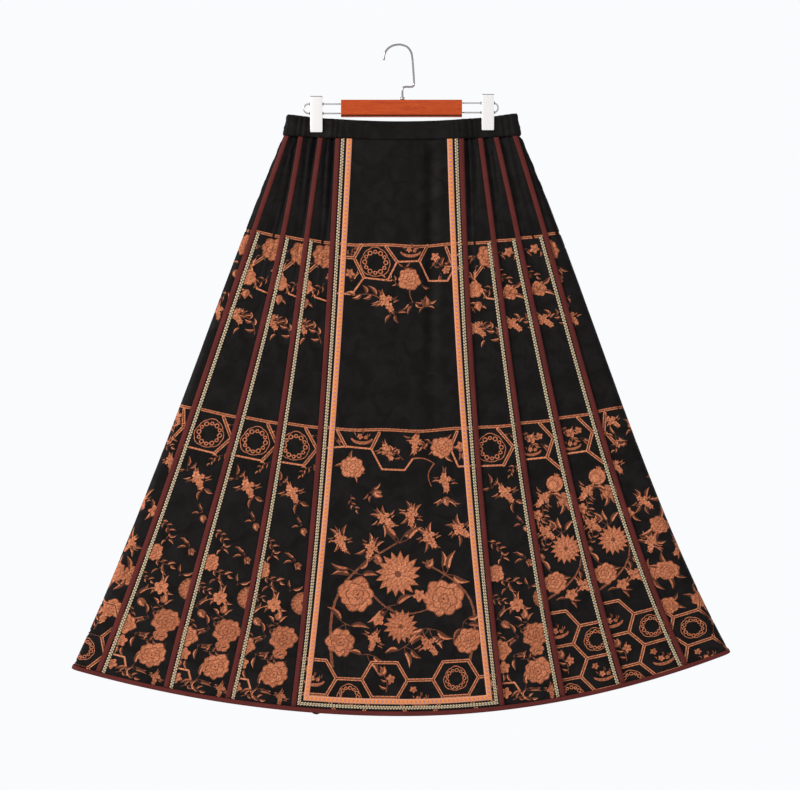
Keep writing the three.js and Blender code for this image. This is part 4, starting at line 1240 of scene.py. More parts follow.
def outlineOf(leftOf, rightOf):
    # The flat cut edge all round, in mm, from leftOf and rightOf at a share of the drop
    drop = tube["drop"]
    edgeDowns = rowsBetween(0, 1, clothGrid["edge"] / drop)
    leftSide = [(leftOf(d), d * drop) for d in edgeDowns]
    rightSide = [(rightOf(d), d * drop) for d in edgeDowns]
    topRow = [(x, 0.0) for x in rowsBetween(leftOf(0), rightOf(0), clothGrid["waist"])][1:-1]
    hemRow = [(x, drop) for x in rowsBetween(leftOf(1), rightOf(1), clothGrid["hem"])][1:-1]
    return leftSide + hemRow + rightSide[::-1] + topRow[::-1]


def gridPoints(leftOf, rightOf, steps):
    drop = tube["drop"]
    points = []
    for w in np.arange(steps[1], drop - 1, steps[1]):
        d = w / drop
        across = steps[0] if d > gatherFolds["end"] else min(steps[0], gatherFolds["step"])
        points += [(x, w) for x in rowsBetween(leftOf(d), rightOf(d), across)[1:-1]]
    return points


def namedPoints(origins, outline):
    # Which mesh point each point of the outline became
    pairs = [(index, origin) for index, names in enumerate(origins) for origin in names]
    return [(index, origin) for index, origin in pairs if origin < len(outline)]


def rimFaces(faces, frontNames, backNames):
    # The print's own crossings with the outline have no twin behind, so the rim takes the outline's points
    edges = {(a, b) for cell in faces for a, b in zip(cell, cell[1:] + cell[:1])}
    after = {a: b for a, b in edges if (b, a) not in edges}
    outlineIndex = dict(frontNames)
    behind = {origin: index for index, origin in backNames}
    here = min(index for index in after if index in outlineIndex)
    rim, run = [], [here]
    for _ in range(len(after)):
        here = after[here]
        run.append(here)
        if here in outlineIndex:
            first, last = behind[outlineIndex[run[0]]], behind[outlineIndex[here]]
            rim.append(run[::-1] + [first, last])
            run = [here]
    return rim


def clothMesh(name, leftOf, rightOf, place, surface, face, shapes, steps):
    # place(x, down) gives the piece's place across the tube
    drop = tube["drop"]
    outline = outlineOf(leftOf, rightOf)
    inside = [(ring, tone) for ring, tone in shapes if ring[:, 1].min() < drop and ring[:, 1].max() > 0]
    printed, lines, toneAt = visiblePrint(outline, inside)
    inner = clearOf(printed, gridPoints(leftOf, rightOf, steps))
    front, origins, faces = clothTriangles(outline, inner, printed, lines)
    tones = [toneAt(sum(front[i] for i in cell) / len(cell)) for cell in faces]
    wider = [step * clothGrid["behind"] for step in steps]
    plain = gridPoints(leftOf, rightOf, wider)
    back, backOrigins, backFaces = clothTriangles(outline, plain, [], [])
    sides = []
    for flat, lift in ((front, 0), (back, -tube["wall"])):
        down = flat[:, 1] / drop
        sides.append(raised(face, surface, place(flat[:, 0], down), down, lift))
    base = len(front)
    backNames = [(base + index, origin) for index, origin in namedPoints(backOrigins, outline)]
    allFaces = [tuple(cell) for cell in faces]
    allFaces += [tuple(base + i for i in cell[::-1]) for cell in backFaces]
    allFaces += [tuple(cell) for cell in rimFaces(faces, namedPoints(origins, outline), backNames)]
    # Parts of motifs that lie beyond the cut edge leave points without faces, which go
    used = sorted({i for cell in allFaces for i in cell})
    renamed = {old: new for new, old in enumerate(used)}
    allFaces = [tuple(renamed[i] for i in cell[::-1]) for cell in allFaces]
    item = meshObject(name, np.concatenate(sides)[used] * mm, allFaces)
    tones += [0.0] * (len(allFaces) - len(faces))
    item.data.attributes.new("printTone", "FLOAT", "FACE").data.foreach_set("value", tones)
    giveUv(item, np.concatenate([front, back])[used] * mm)
    smooth(item)
    return item


def report(name, item):
    print(f"{name}: {len(item.data.polygons)} faces")


# Strips of tape, braid and ribbon
def shell(name, top, under, along, acrossUv):
    # top and under are grids of points, rows along the strip; edges and ends are closed
    rows, columns = top.shape[:2]
    points = np.concatenate([top.reshape(-1, 3), under.reshape(-1, 3)]) * mm
    faces = []
    low = rows * columns

    def at(r, c):
        return r * columns + c
    for r in range(rows - 1):
        for c in range(columns - 1):
            faces.append((at(r, c), at(r + 1, c), at(r + 1, c + 1), at(r, c + 1)))
            faces.append((low + at(r, c), low + at(r, c + 1), low + at(r + 1, c + 1), low + at(r + 1, c)))
        faces.append((at(r, 0), low + at(r, 0), low + at(r + 1, 0), at(r + 1, 0)))
        last = columns - 1
        faces.append((at(r, last), at(r + 1, last), low + at(r + 1, last), low + at(r, last)))
    for c in range(columns - 1):
        faces.append((at(0, c), at(0, c + 1), low + at(0, c + 1), low + at(0, c)))
        last = rows - 1
        faces.append((at(last, c), low + at(last, c), low + at(last, c + 1), at(last, c + 1)))
    item = meshObject(name, points, faces)
    if signedVolume(item) < 0:
        item.data.flip_normals()
    flags = [max(f) < low or min(f) >= low for f in faces]
    uv = np.stack([np.broadcast_to(values, (rows, columns)) for values in (acrossUv, along)], axis=-1)
    giveUv(item, np.concatenate([uv.reshape(-1, 2)] * 2) * mm)
    item.data.polygons.foreach_set("use_smooth", flags)
    return item


def signedVolume(item):
    mesh = item.data
    mesh.calc_loop_triangles()
    points = np.empty(len(mesh.vertices) * 3)
    mesh.vertices.foreach_get("co", points)
    points = points.reshape(-1, 3)
    cells = np.empty(len(mesh.loop_triangles) * 3, dtype=int)
    mesh.loop_triangles.foreach_get("vertices", cells)
    a, b, c = (points[cells.reshape(-1, 3)[:, i]] for i in range(3))
    return float(np.sum(np.einsum("ij,ij->i", a, np.cross(b, c)))) / 6


def crowned(columns, raisedBy=0.0, edgeRaisedBy=0.0):
    # Height of a strip's top over its width: thin edges, flat middle
    share = np.abs(np.linspace(-1, 1, columns))
    return mix(trims["top"] + raisedBy, trims["edgeLift"] + edgeRaisedBy, share ** 4)


def widths(width):
    return np.linspace(-width / 2, width / 2, trims["columns"])[None, :]


def seamStrip(name, face, side, surface, edge, fromDown, start, width):
    # A strip beside the seam at edge(down), from fromDown to the hem binding
    drop = tube["drop"]
    downs = rowsBetween(fromDown, 1 - trims["binding"] / drop, trims["rowStep"] / drop)[:, None]
    distances = np.linspace(start, start + width, trims["columns"])[None, :]
    across = sideSign[side] * (edge(downs) - distances)
    top = raised(face, surface, across, downs, crowned(trims["columns"])[None, :])
    under = raised(face, surface, across, downs, trims["bottom"])
    return shell(name, top, under, downs * drop, widths(width))


def frameStrip(name, face, surface, inset, width, fromHem):
    # Down one side of the panel, along above the hem and up the other side, with mitred corners
    drop, columns = tube["drop"], trims["columns"]
    shares = np.linspace(0, 1, columns)[None, :]
    insets = inset + width * shares
    hemDowns = 1 - (fromHem + width * shares) / drop
    legDowns = rowsBetween(0, 1, trims["rowStep"] / drop)[:, None] * hemDowns
    left = -panelEdge(face, "left", 1, legDowns) + insets
    right = panelEdge(face, "right", 1, legDowns) - insets
    runShares = rowsBetween(0, 1, 1 / trims["hemRows"])[1:-1][:, None]
    runDowns = np.broadcast_to(hemDowns, (len(runShares), columns))
    runLeft = -panelEdge(face, "left", 1, runDowns) + insets
    runRight = panelEdge(face, "right", 1, runDowns) - insets
    across = np.concatenate([left, mix(runLeft, runRight, runShares), right[::-1]])
    downs = np.concatenate([legDowns, runDowns, legDowns[::-1]])
    top = raised(face, surface, across, downs, crowned(columns)[None, :])
    under = raised(face, surface, across, downs, trims["bottom"])
    middle = top[:, columns // 2]
    along = np.concatenate([[0], np.cumsum(np.linalg.norm(np.diff(middle, axis=0), axis=1))])[:, None]
    return shell(name, top, under, along, widths(width))


# How far each gore's print is shifted sideways from the next one's, and its lower border, as seen
cutShift = {"left": (-3, 2, 1), "right": (-8, -5, -6)}
chainShift = {"first": -8, "other": 2}


def makeSkirt(bindings):
    cloth = damask("blackDamask")
    tape, braid, ribbon = tapeCloth("brownTape"), loopBraid("creamBraid"), spottedRibbon("orangeRibbon")
    upper, sparse, chain, cell = goreUpper(), goreUpperSparse(), goreChain(), goreFlowerCell()
    field, blooms, panel = goreLowerField(), goreBlooms(), panelUpper() + panelLower()
    plain = [shape for shape in field if shape[0][:, 1].min() > lowerLine + 50]
    for face in ("front", "back"):
        makePanel(face, panel, cloth, tape, braid, ribbon)
        for side in ("left", "right"):
            seenSide = side if face == "front" else otherSide[side]
            for number in (1, 2, 3):
                firstRight = seenSide == "right" and number == 1
                if seenSide == "left" or firstRight:
                    shift = chainShift["first" if firstRight else "other"]
                    shapes = upper + shifted(chain, shift, 0) + plain
                else:
                    shapes = sparse + cell + blooms
                shapes = shifted(shapes, cutShift[seenSide][number - 1], 0)
                makeGore(face, side, number, shapes, cloth, tape, braid)
    for side in ("left", "right"):
        makeSideGore(side, sideDesign(side), cloth)


def makePanel(face, shapes, cloth, tape, braid, ribbon):
    surface = clothSurface(face, panelDepth(face))
    seen = -faceSign[face]                      # the print reads the right way round from either side
    nearSide, farSide = ("left", "right") if seen > 0 else ("right", "left")
    item = clothMesh(f"{face}_panel_cloth", lambda d: -panelEdge(face, nearSide, 1, d),
                     lambda d: panelEdge(face, farSide, 1, d), lambda x, d: seen * x, surface, face, shapes,
                     clothGrid["panel"])
    dress(item, "black_damask", f"{face}_panel", material=cloth)
    for side in ("left", "right"):
        name = f"tape_{face}_{side}_1"

        def edge(downs, side=side):
            return panelEdge(face, side, 1, downs)
        strip = seamStrip(name + "_woven", face, side, surface, edge, 0, 0, trims["tape"])
        dress(strip, "brown_tape", name, material=tape)
    braidAboveHem = trims["binding"] + trims["bindingToBraid"]
    strip = frameStrip(f"frame_braid_{face}_woven", face, surface, braidStart, trims["braid"], braidAboveHem)
    dress(strip, "woven_braid", f"frame_braid_{face}", material=braid)
    ribbonAboveHem = braidAboveHem + trims["braid"] + trims["hemBraidToRibbon"]
    strip = frameStrip(f"frame_ribbon_{face}_woven", face, surface, braidEnd + trims["braidToRibbon"],
                       trims["ribbon"], ribbonAboveHem)
    dress(strip, "dotted_ribbon", f"frame_ribbon_{face}", material=ribbon)
    top, hem = (sum(float(panelEdge(face, side, 1, d)) for side in ("left", "right")) for d in (0.0, 1.0))
    report(item.name, item)


def makeGore(face, side, number, shapes, cloth, tape, braid):
    surface = clothSurface(face, goreDepth(face, side, number))
    sign = sideSign[side]
    seen = -faceSign[face]

    def place(x, d):
        return sign * sum(goreSpan(face, side, number, d)) / 2 + seen * x

    def halfWidth(d, tuck):
        inner, outer = goreSpan(face, side, number, d)
        return (outer - inner) / 2 + tuck
    # Along x as seen, the gore's outer edge is on the left of a left gore seen from the front
    outerLeft = sign * seen < 0
    tuckLeft, tuckRight = (0, relief["lapTuck"]) if outerLeft else (relief["lapTuck"], 0)
    name = f"{face}_gore_{side}_{number}"
    item = clothMesh(f"{name}_cloth", lambda d: -halfWidth(d, tuckLeft), lambda d: halfWidth(d, tuckRight),
                     place, surface, face, shapes, clothGrid["gore"])
    dress(item, "black_damask", name, material=cloth)

    def edge(downs):
        return goreSpan(face, side, number, downs)[1]
    for kind, slot, material, fromDown, start, width in (
            ("tape", "brown_tape", tape, 0, 0, trims["tape"]),
            ("braid", "woven_braid", braid, tube["rowDowns"][1], braidStart, trims["braid"])):
        node = f"{kind}_{face}_{side}_{number + 1}"
        strip = seamStrip(node + "_woven", face, side, surface, edge, fromDown, start, width)
        dress(strip, slot, node, material=material)
    inner, outer = (float(v) for v in goreSpan(face, side, number, 0.0))
    innerHem, outerHem = (float(v) for v in goreSpan(face, side, number, 1.0))
    report(item.name, item)


def makeSideGore(side, shapes, cloth):
    surface = clothSurface("front", sideDepth(side))
    sign = sideSign[side]

    def span(d):
        front, back = sideSpan(side, d)
        return front - relief["lapTuck"], back + relief["lapTuck"], (front + back) / 2

    def toFront(d):
        return span(d)[2] - span(d)[0]

    def toBack(d):
        return span(d)[1] - span(d)[2]
    # Seen from its side, the left gore's front edge is on the right
    left, right = (toBack, toFront) if side == "left" else (toFront, toBack)
    item = clothMesh(f"side_gore_{side}_cloth", lambda d: -left(d), right, lambda x, d: sign * span(d)[2] + x,
                     surface, "front", shapes, clothGrid["side"])
    dress(item, "black_damask", f"side_gore_{side}", material=cloth)
    front, back, _ = (float(v) for v in span(0.0))
    frontHem, backHem, _ = (float(v) for v in span(1.0))
    report(item.name, item)


# Waistband: a smooth front stretch, and an elastic one round both sides and the back
band = {
    "gap": 0.3, "proud": 0.8, "wall": 2.4, "centreTop": -114.2, "rise": {"left": 10.7, "right": 12.3},
    "narrowing": 0.025, "smoothEnd": {"left": 85, "right": 80}, "ruches": 60, "rucheHeight": 1.9,
    "join": 0.04, "endNotch": 1.1, "endLean": 1.6, "endReach": 11, "clearOfClips": 2,
    "rucheRise": 6, "levelRun": 9, "roll": 0.07, "elasticRows": (0.3, 0.52, 0.74), "seed": 11,
    "rows": 15, "rucheColumns": 9, "smoothColumns": 90, "rucheSizes": (0.55, 1.0), "rucheShift": 0.16,
    "elasticHalf": 0.035, "elasticHold": 0.4, "rollHold": 0.75, "outerRoll": 0.7, "innerRoll": 0.5,
    "innerRuche": 0.25, "edgeDent": 0.3, "notchAt": 0.62, "notchHalf": 0.16, "leanFrom": 0.4,
    "patternHeight": 27, "cutHeight": 0.0272, "fullness": 1.33,
    "softLift": 0.18, "softWave": 0.21, "softFrom": 20, "softRise": 50, "slowLift": 0.1, "slowWave": 0.075,
}


def bandPoint(onRight, place, height):
    points = []
    for side in ("left", "right"):
        section = sectionAt(side, 0.0)
        x, y = tubeXy(section, "front", place, 0.0, 1)
        spread = (x / section[0]) ** 2
        bottom = tube["waistZ"] + band["gap"] + seams[side]["climb"][0] * spread
        top = band["centreTop"] + band["rise"][side] * spread
        worldX = tube["centreX"] + sideSign[side] * x * (1 - band["narrowing"] * height)
        points.append(np.stack([worldX, y, mix(bottom, top, height)], axis=-1))
    return np.where(onRight[..., None], points[1], points[0])


def bandShell(name, onRight, place, ruche, endness):
    # For each column: ruche is the extra height of the outside, endness how near it is to a side fold, 0 to 1
    rows = band["rows"]
    heights = np.linspace(0, 1, rows)[:, None]
    ruche, endness = ruche[None, :], endness[None, :]
    onRight = np.broadcast_to(onRight[None, :], (rows, len(place)))
    base = bandPoint(onRight, np.broadcast_to(place[None, :], onRight.shape), heights)
    along, upwards = np.gradient(base, axis=1), np.gradient(base, axis=0)
    out = np.cross(along, upwards)
    out = out / np.linalg.norm(out, axis=-1, keepdims=True)
    rolled = np.clip((np.abs(heights - 0.5) - 0.5 + band["roll"]) / band["roll"], 0, 1)
    held = sum(np.exp(-((heights - at) / band["elasticHalf"]) ** 2) for at in band["elasticRows"])
    puff = band["rucheHeight"] * ruche * (1 - band["elasticHold"] * held)
    puff = puff * (1 - band["rollHold"] * rolled ** 2)
    notch = np.exp(-((heights - band["notchAt"]) / band["notchHalf"]) ** 2)
    puff = puff - band["endNotch"] * endness * notch
    puff = puff - band["endLean"] * endness * ease((heights - band["leanFrom"]) / (1 - band["leanFrom"]))
    turnedIn = 1 - np.sqrt(1 - rolled ** 2)
    outer = band["proud"] + puff - band["outerRoll"] * turnedIn
    inner = band["proud"] - band["wall"] + band["innerRoll"] * turnedIn + band["innerRuche"] * ruche
    dent = band["edgeDent"] * ruche * rolled * np.sign(heights - 0.5)     # the edges dent between ruches
    top = base + out * outer[..., None] + np.array([0, 0, 1]) * dent[..., None]
    under = base + out * inner[..., None]
    middle = base[rows // 2]
    length = np.concatenate([[0], np.cumsum(np.linalg.norm(np.diff(middle, axis=0), axis=1))])[None, :]
    return shell(name, top, under, heights * band["patternHeight"], length)


def makeBand():
    cloth = damask("bandDamask", printed=False)
    ends = band["smoothEnd"]
    smoothX = np.linspace(-ends["left"], ends["right"], band["smoothColumns"])
    fromMiddle = ease((np.abs(smoothX) - band["softFrom"]) / band["softRise"])
    soft = band["softLift"] * np.sin(smoothX * band["softWave"]) * fromMiddle
    soft = soft + band["slowLift"] * np.sin(smoothX * band["slowWave"])
    soft = soft * ease(smoothX + ends["left"]) * ease(ends["right"] - smoothX)
    front = bandShell("waistband_front_cloth", smoothX >= 0, np.abs(smoothX), np.clip(soft, -0.2, 0.4),
                      np.zeros(len(smoothX)))
    dress(front, "waistband_cloth", "waistband_front", material=cloth)
    girth = {}
    for side in ("left", "right"):
        section = sectionAt(side, 0.0)
        girth[side] = float(2 * section[2] + section[5])
    lengths = {side: girth[side] - ends[side] - band["join"] for side in ends}
    total = lengths["left"] + lengths["right"]
    turn = np.linspace(0, 1, band["ruches"] * band["rucheColumns"] + 1)
    along = total * turn
    onRight = along <= lengths["right"]
    beyond = along - lengths["right"]
    place = np.where(onRight, ends["right"] + band["join"] + along, girth["left"] - beyond)
    draw = random.Random(band["seed"])
    shift = band["rucheShift"]
    sizes = [draw.uniform(*band["rucheSizes"]) for _ in range(band["ruches"] + 2)]
    shifts = [draw.uniform(-shift, shift) for _ in range(band["ruches"] + 2)]
    phase = turn * band["ruches"]
    phase = phase + np.interp(phase, np.arange(len(shifts)), shifts)
    size = np.interp(phase, np.arange(len(sizes)), sizes)
    rightX, leftX = (tubeXy(sectionAt(side, 0.0), "front", place, 0.0)[0] for side in ("right", "left"))
    fromClip = np.abs(np.where(onRight, rightX, leftX) - tube["clipPlace"])
    free = ease((fromClip - tube["clipHold"] - band["clearOfClips"]) / band["rucheRise"])
    level = ease(along / band["levelRun"]) * ease((total - along) / band["levelRun"])
    ruche = free * level * size * np.abs(np.sin(np.pi * phase)) ** 0.8
    folds = {side: float(sectionAt(side, 0.0)[2] + sectionAt(side, 0.0)[5] / 2) for side in ends}
    fromFold = np.abs(place - np.where(onRight, folds["right"], folds["left"]))
    endness = np.exp(-(fromFold / band["endReach"]) ** 2)
    elastic = bandShell("waistband_elastic_cloth", onRight, place, ruche, endness)
    dress(elastic, "waistband_cloth", "waistband_elastic", material=cloth)
    # The elastic stretch is a third longer before it is gathered; here only its face count is printed
    report("waistband", elastic)


# Hem bindings, fold to fold
hemBinding = {"columns": 7, "rows": 150, "proud": 0.15, "edgeProud": 0.3, "under": 0.3, "keptClear": 0.15}


def makeBindings():
    tape = tapeCloth("hemTape")
    look, columns = hemBinding, hemBinding["columns"]
    fromDown = 1 - trims["binding"] / tube["drop"] + 2 * tube["gap"] / tube["drop"]
    downs = np.linspace(fromDown, 1.0, columns)
    bindings = {}
    for face in ("front", "back"):
        grids = {}
        for side in ("left", "right"):
            section = sectionAt(side, downs)
            front, back = sideSpan(side, downs)
            clear = look["keptClear"] * (back - front)
            foldStart = np.maximum(section[2], front + clear)
            foldEnd = np.minimum(section[2] + section[5], back - clear)
            foldMiddle = (foldStart + foldEnd) / 2
            end = foldMiddle if face == "front" else 2 * section[2] + section[5] - foldMiddle
            end = end - trims["bindingEndGap"]
            grids[side] = end[:, None] * np.linspace(0, 1, look["rows"])[None, :]
        across = np.concatenate([-grids["left"][:, ::-1], grids["right"][:, 1:]], axis=1).T
        surface = plainSurface(face)
        wobble = 0.12 * np.sin(across * 0.09) + 0.08 * np.sin(across * 0.31)
        crown = crowned(columns, look["proud"], look["edgeProud"])[None, :]
        top = raised(face, surface, across, downs[None, :], crown + wobble)
        under = raised(face, surface, across, downs[None, :], look["under"])
        acrossUv = np.linspace(-trims["binding"] / 2, trims["binding"] / 2, columns)[None, :]
        item = shell(f"hem_binding_{face}_woven", top, under, across, acrossUv)
        bindings[face] = dress(item, "brown_tape", f"hem_binding_{face}", material=tape)
        report(item.name, item)
    return bindings


# Hanger
hanger = {
    "bar": {"left": -86.25, "right": 95.25, "bottom": -107.1, "top": -81.6, "thick": 11, "corner": 1.0,
            "grooveZ": -105.0, "grooveHalf": 0.95, "grooveDeep": 1.5,
            "ends": ((0, 0.94), (0.25, 0.98), (0.7, 1))},
    "rod": {"radius": 1.25, "left": (-87.6, -101.7, -143.2), "right": (-86.1, -100.4, 150.7)},
    "hook": {"radius": 1.6, "route": [
        (6, -81.3), (6, -74), (6, -66), (7.4, -62.8), (11, -61.8), (19, -61.8), (22.4, -60.4), (23.3, -56.5),
        (22.5, -40), (20.6, -17), (18, -8), (12.5, -1.6), (4.5, 1.2), (0, 1.6), (-8.5, 0), (-16.5, -5.2),
        (-21, -13.5), (-21.8, -22)]},
    "ferrule": {"x": 6, "sides": 24, "profile": (
        (1.7, 0), (3.5, 0), (3.5, 0.5), (3.1, 0.9), (3.1, 2.6), (3.4, 3.0), (3.3, 3.6), (2.6, 4.6),
        (1.7, 4.6))},
    "clip": {"width": 18.4, "outerHalf": 6.9, "jaw": 2.0, "left": (-123.1, -76.4, -130.4),
             "right": (133.9, -73.4, -127.4), "flangeBottom": -106, "flangeBelowTop": 9, "sheet": 0.4,
             "edgeDrop": 0.9},
    "pads": {"count": 5, "pitch": 3.4, "height": 2.2, "aboveBottom": 1.2, "inset": 1.6},
    "bushing": {"length": 1.9, "outer": 2.3, "inner": 1.52, "sides": 14},
    "spring": {"turns": 6, "from": -5.6, "pitch": 2.0, "length": 1.3, "belowWire": 4.6, "outer": 3.4,
               "inner": 2.45, "sides": 12},
    "gap": 0.3,
}


def loft(name, rings, closedEnds=True):
    # A tube through rings of the same number of points, in mm, with a face at each end
    count = len(rings[0])
    points = [p for ring in rings for p in ring]
    faces = []
    for r in range(len(rings) - 1):
        for c in range(count):
            d = (c + 1) % count
            faces.append((r * count + c, r * count + d, (r + 1) * count + d, (r + 1) * count + c))
    if closedEnds:
        faces.append(tuple(range(count))[::-1])
        faces.append(tuple((len(rings) - 1) * count + c for c in range(count)))
    item = meshObject(name, np.array(points) * mm, faces)
    if signedVolume(item) < 0:
        item.data.flip_normals()
    return item


def wire(name, path, radius, sides=14):
    # Round wire along a path of (x, z) in the plane y = 0, its ends drawn in a little
    path = np.array(path, float)
    steps = np.gradient(path, axis=0)
    steps = steps / np.linalg.norm(steps, axis=1, keepdims=True)
    turns = np.arange(sides) * 2 * math.pi / sides
    rings = []
    for i, ((x, z), (tx, tz)) in enumerate(zip(path, steps)):
        r = radius * 0.6 if i in (0, len(path) - 1) else radius
        rings.append([(x - tz * r * math.cos(t), r * math.sin(t), z + tx * r * math.cos(t)) for t in turns])
    item = loft(name, rings)
    smooth(item)
    return item


def throughPoints(points, steps=8):
    # A smooth line through all the points
    points = [np.array(p, float) for p in points]
    ends = [2 * points[0] - points[1], *points, 2 * points[-1] - points[-2]]
    path = []
    for i in range(1, len(ends) - 2):
        a, b, c, d = ends[i - 1:i + 3]
        for k in range(steps):
            t = k / steps
            path.append(0.5 * (2 * b + (c - a) * t + (2 * a - 5 * b + 4 * c - d) * t ** 2
                               + (3 * b - a - 3 * c + d) * t ** 3))
    path.append(points[-1])
    return path


def outwards(item):
    # Each closed stretch of the mesh faces out, whichever way it was drawn
    body = bmesh.new()
    body.from_mesh(item.data)
    bmesh.ops.recalc_face_normals(body, faces=body.faces)
    body.to_mesh(item.data)
    body.free()


def rounded(item, width, segments, angle):
    bevel = item.modifiers.new("bevel", "BEVEL")
    bevel.width = width * mm
    bevel.segments = segments
    bevel.limit_method = "ANGLE"
    bevel.angle_limit = math.radians(angle)
    bevel.harden_normals = True
    smooth(item)


def makeBar(wood, grooveShade):
    spec = hanger["bar"]
    half, low, high, corner = spec["thick"] / 2, spec["bottom"], spec["top"], spec["corner"]
    groove = ((0, -1), (1, -1), (1, 1), (0, 1))
    profile = []
    for cy, cz, start in ((half - corner, low + corner, -90), (half - corner, high - corner, 0),
                          (-half + corner, high - corner, 90), (-half + corner, low + corner, 180)):
        for k in range(4):
            t = math.radians(start + k * 30)
            profile.append((cy + corner * math.cos(t), cz + corner * math.sin(t)))
        if start in (-90, 90):
            # A groove along the front and the back
            sign = -1 if start == 90 else 1
            for deep, up in groove:
                level = spec["grooveZ"] + sign * up * spec["grooveHalf"]
                profile.append((sign * (half - deep * spec["grooveDeep"]), level))
    middle = (low + high) / 2
    rings = []
    for inset, share in spec["ends"]:
        rings.append([(spec["left"] + inset, y * share, middle + (z - middle) * share) for y, z in profile])
    for x in np.linspace(spec["left"] + 12, spec["right"] - 12, 12):
        rings.append([(x, y, z) for y, z in profile])
    for inset, share in spec["ends"][::-1]:
        rings.append([(spec["right"] - inset, y * share, middle + (z - middle) * share) for y, z in profile])
    item = loft("hanger_bar_wood", rings)
    item.data.materials.append(wood)
    item.data.materials.append(grooveShade)
    # Faces inside the groove take the second material, the painted groove shade
    inGroove = []
    for face in item.data.polygons:
        level = abs(face.center.z / mm - spec["grooveZ"]) < spec["grooveHalf"] * 1.01
        inGroove.append(int(level and abs(face.center.y) / mm < half - 0.1))
    item.data.polygons.foreach_set("material_index", inGroove)
    return dress(item, "hanger_wood", "hanger_bar")


def makeRods(steel):
    spec = hanger["rod"]
    for side in ("left", "right"):
        upper, lower, tip = spec[side]
        sign = sideSign[side]
        start = hanger["bar"][side] + sign * hanger["gap"]
        bend = (upper - lower) / 2
        bendX = tip - sign * (bend + spec["radius"])
        turns = np.linspace(math.pi / 2, -math.pi / 2, 19)
        path = [(mix(start, bendX, t), upper) for t in np.linspace(0, 1, 12)[:-1]]
        path += [(bendX + sign * bend * math.cos(t), (upper + lower) / 2 + bend * math.sin(t)) for t in turns]
        path += [(mix(bendX, start, t), lower) for t in np.linspace(0, 1, 12)[1:]]
        item = wire(f"hanger_rod_{side}_steel", path, spec["radius"])
        dress(item, "hanger_wire", f"hanger_rod_{side}", material=steel)


def makeHook(steel):
    spec = hanger["hook"]
    item = wire("hanger_hook_steel", throughPoints(spec["route"], 7), spec["radius"], 18)
    dress(item, "hanger_wire", "hanger_hook", material=steel)
    cup = hanger["ferrule"]
    base = hanger["bar"]["top"] + hanger["gap"]
    turns = np.arange(cup["sides"]) * 2 * math.pi / cup["sides"]
    rings = []
    for r, z in cup["profile"] + cup["profile"][:1]:
        rings.append([(cup["x"] + r * math.cos(t), r * math.sin(t), base + z) for t in turns])
    collar = loft("hanger_ferrule_steel", rings, closedEnds=False)
    smooth(collar)
    dress(collar, "hanger_wire", "hanger_ferrule", material=steel)


def plate(width, low, high, y, lip, sign):
    # A jaw's face: slightly crowned, its top and bottom edges turned out a little
    rows = []
    for t in np.linspace(0, 1, 15):
        z = mix(low, high, t)
        inward = 0.5 * (1 - math.sin(math.pi * min(1, max(0, t))) ** 0.35) + (lip if t > 0.93 else 0)
        narrow = 0.35 * (1 if t in (0.0, 1.0) else 0)
        row = []
        for c in np.linspace(-1, 1, 9):
            crown = 0.35 * abs(c) ** 4
            row.append((c * (width / 2 - narrow), y - sign * (inward + crown), z))
        rows.append(row)
    return np.array(rows)


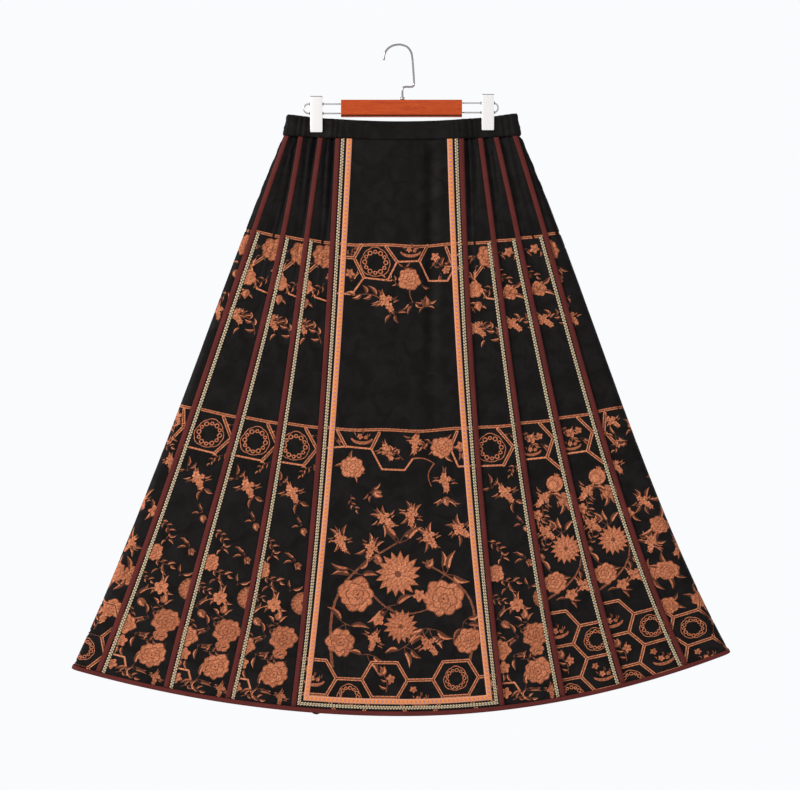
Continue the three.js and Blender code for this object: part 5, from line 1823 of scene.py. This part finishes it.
def makeClip(side, satin, rubber, dark):
    spec = hanger["clip"]
    x, top, bottom = spec[side]
    half, jaw = spec["outerHalf"], spec["jaw"]
    points, faces, slots = [], [], []

    def add(grid, back, slot):
        # A closed plate between two grids of rows
        rows, columns = grid.shape[:2]
        base, low = len(points), len(points) + rows * columns
        points.extend(grid.reshape(-1, 3).tolist() + back.reshape(-1, 3).tolist())
        start = len(faces)
        for r in range(rows - 1):
            for c in range(columns - 1):
                a = r * columns + c
                faces.append((base + a, base + a + 1, base + a + columns + 1, base + a + columns))
                faces.append((low + a, low + a + columns, low + a + columns + 1, low + a + 1))
            a, b = r * columns, r * columns + columns - 1
            faces.append((base + a, base + a + columns, low + a + columns, low + a))
            faces.append((base + b, low + b, low + b + columns, base + b + columns))
        last = (rows - 1) * columns
        for c in range(columns - 1):
            faces.append((base + c, low + c, low + c + 1, base + c + 1))
            faces.append((base + last + c, base + last + c + 1, low + last + c + 1, low + last + c))
        slots.extend([slot] * (len(faces) - start))

    def block(x0, x1, y0, y1, z0, z1, slot):
        grid = np.array([[(x0, y0, z0), (x1, y0, z0)], [(x0, y0, z1), (x1, y0, z1)]], float)
        add(grid, grid + (0, y1 - y0, 0), slot)

    def sleeve(x0, x1, z, outer, inner, sides):
        base = len(points)
        for t in np.arange(sides) * 2 * math.pi / sides:
            points.extend((w, r * math.cos(t), z + r * math.sin(t)) for r in (outer, inner) for w in (x0, x1))
        for i in range(sides):
            here, after = base + 4 * i, base + 4 * ((i + 1) % sides)
            for j, k in ((0, 1), (1, 3), (3, 2), (2, 0)):
                faces.append((here + j, here + k, after + k, after + j))
                slots.append(2)
    halfWidth, inside = spec["width"] / 2, half - jaw
    for sign in (-1, 1):
        outer = plate(spec["width"], bottom, top, sign * half, -0.2, sign)
        outer[:, :, 0] += x
        inner = outer.copy()
        inner[:, :, 1] -= sign * (jaw - spec["sheet"])
        add(outer, inner, 0)
        # A thin dark strip along each jaw's top edge, in the dark steel: painted shade under the rolled lip
        block(x - halfWidth, x + halfWidth, sign * (half + 0.05), sign * (inside + 0.3),
              top - spec["edgeDrop"], top, 2)
        # Side flanges fold inwards above the jaws, and hold the wires
        for edge in (-1, 1):
            x0 = x + edge * (halfWidth - 0.2)
            block(min(x0, x0 - edge * 1.1), max(x0, x0 - edge * 1.1), sign * inside, sign * 0.4,
                  spec["flangeBottom"], top - spec["flangeBelowTop"], 0)
        # Ribbed pads grip the band
        pads = hanger["pads"]
        reach = halfWidth - pads["inset"]
        for k in range(pads["count"]):
            z0 = bottom + pads["aboveBottom"] + pads["pitch"] * k
            block(x - reach, x + reach, sign * (inside + 0.35), sign * (inside - 0.2),
                  z0, z0 + pads["height"], 1)
    # Dark bushings carry the wires through the sides, and a coiled spring sits between the jaws
    rod, bushing, spring = hanger["rod"][side], hanger["bushing"], hanger["spring"]
    for level in rod[:2]:
        for edge in (-1, 1):
            x0 = x + edge * (halfWidth - 0.4)
            x1 = x0 + edge * bushing["length"]
            sleeve(min(x0, x1), max(x0, x1), level, bushing["outer"], bushing["inner"], bushing["sides"])
    for turn in range(spring["turns"]):
        x0 = x + spring["from"] + turn * spring["pitch"]
        sleeve(x0, x0 + spring["length"], rod[0] - spring["belowWire"], spring["outer"], spring["inner"],
               spring["sides"])
    item = meshObject(f"hanger_clip_{side}_steel", np.array(points) * mm, faces)
    for material in (satin, rubber, dark):
        item.data.materials.append(material)
    item.data.polygons.foreach_set("material_index", slots)
    outwards(item)
    rounded(item, 0.35, 2, 50)
    item.modifiers.new("weld", "WELD").merge_threshold = 0.01 * mm
    dress(item, "clip_steel", f"hanger_clip_{side}")
    report(item.name, item)


def makeHanger():
    wood = varnishedWood("varnishedWood")
    steel = brightSteel("brightWire", (0.52, 0.49, 0.48), 0.14, 0.2, 0.05)
    hookSteel = brightSteel("hookWire", (0.3, 0.28, 0.275), 0.1, 0.16, 0.05)
    satin = brightSteel("satinClip", (0.86, 0.83, 0.81), 0.34, 0.5)
    # Dark steel for the spring and bushings, also used for the painted shade along the clips' top edges
    dark = brightSteel("springSteelAndEdgeShade", (0.1, 0.095, 0.095), 0.3, 0.45)
    makeBar(wood, paintedGrooveShade("grooveShadePainted"))
    makeRods(steel)
    makeHook(hookSteel)
    for side in ("left", "right"):
        makeClip(side, satin, softRubber("gripRubber_" + side), dark)


setStudio()
makeHanger()
makeBand()
makeSkirt(makeBindings())
print("skirt and trims made")
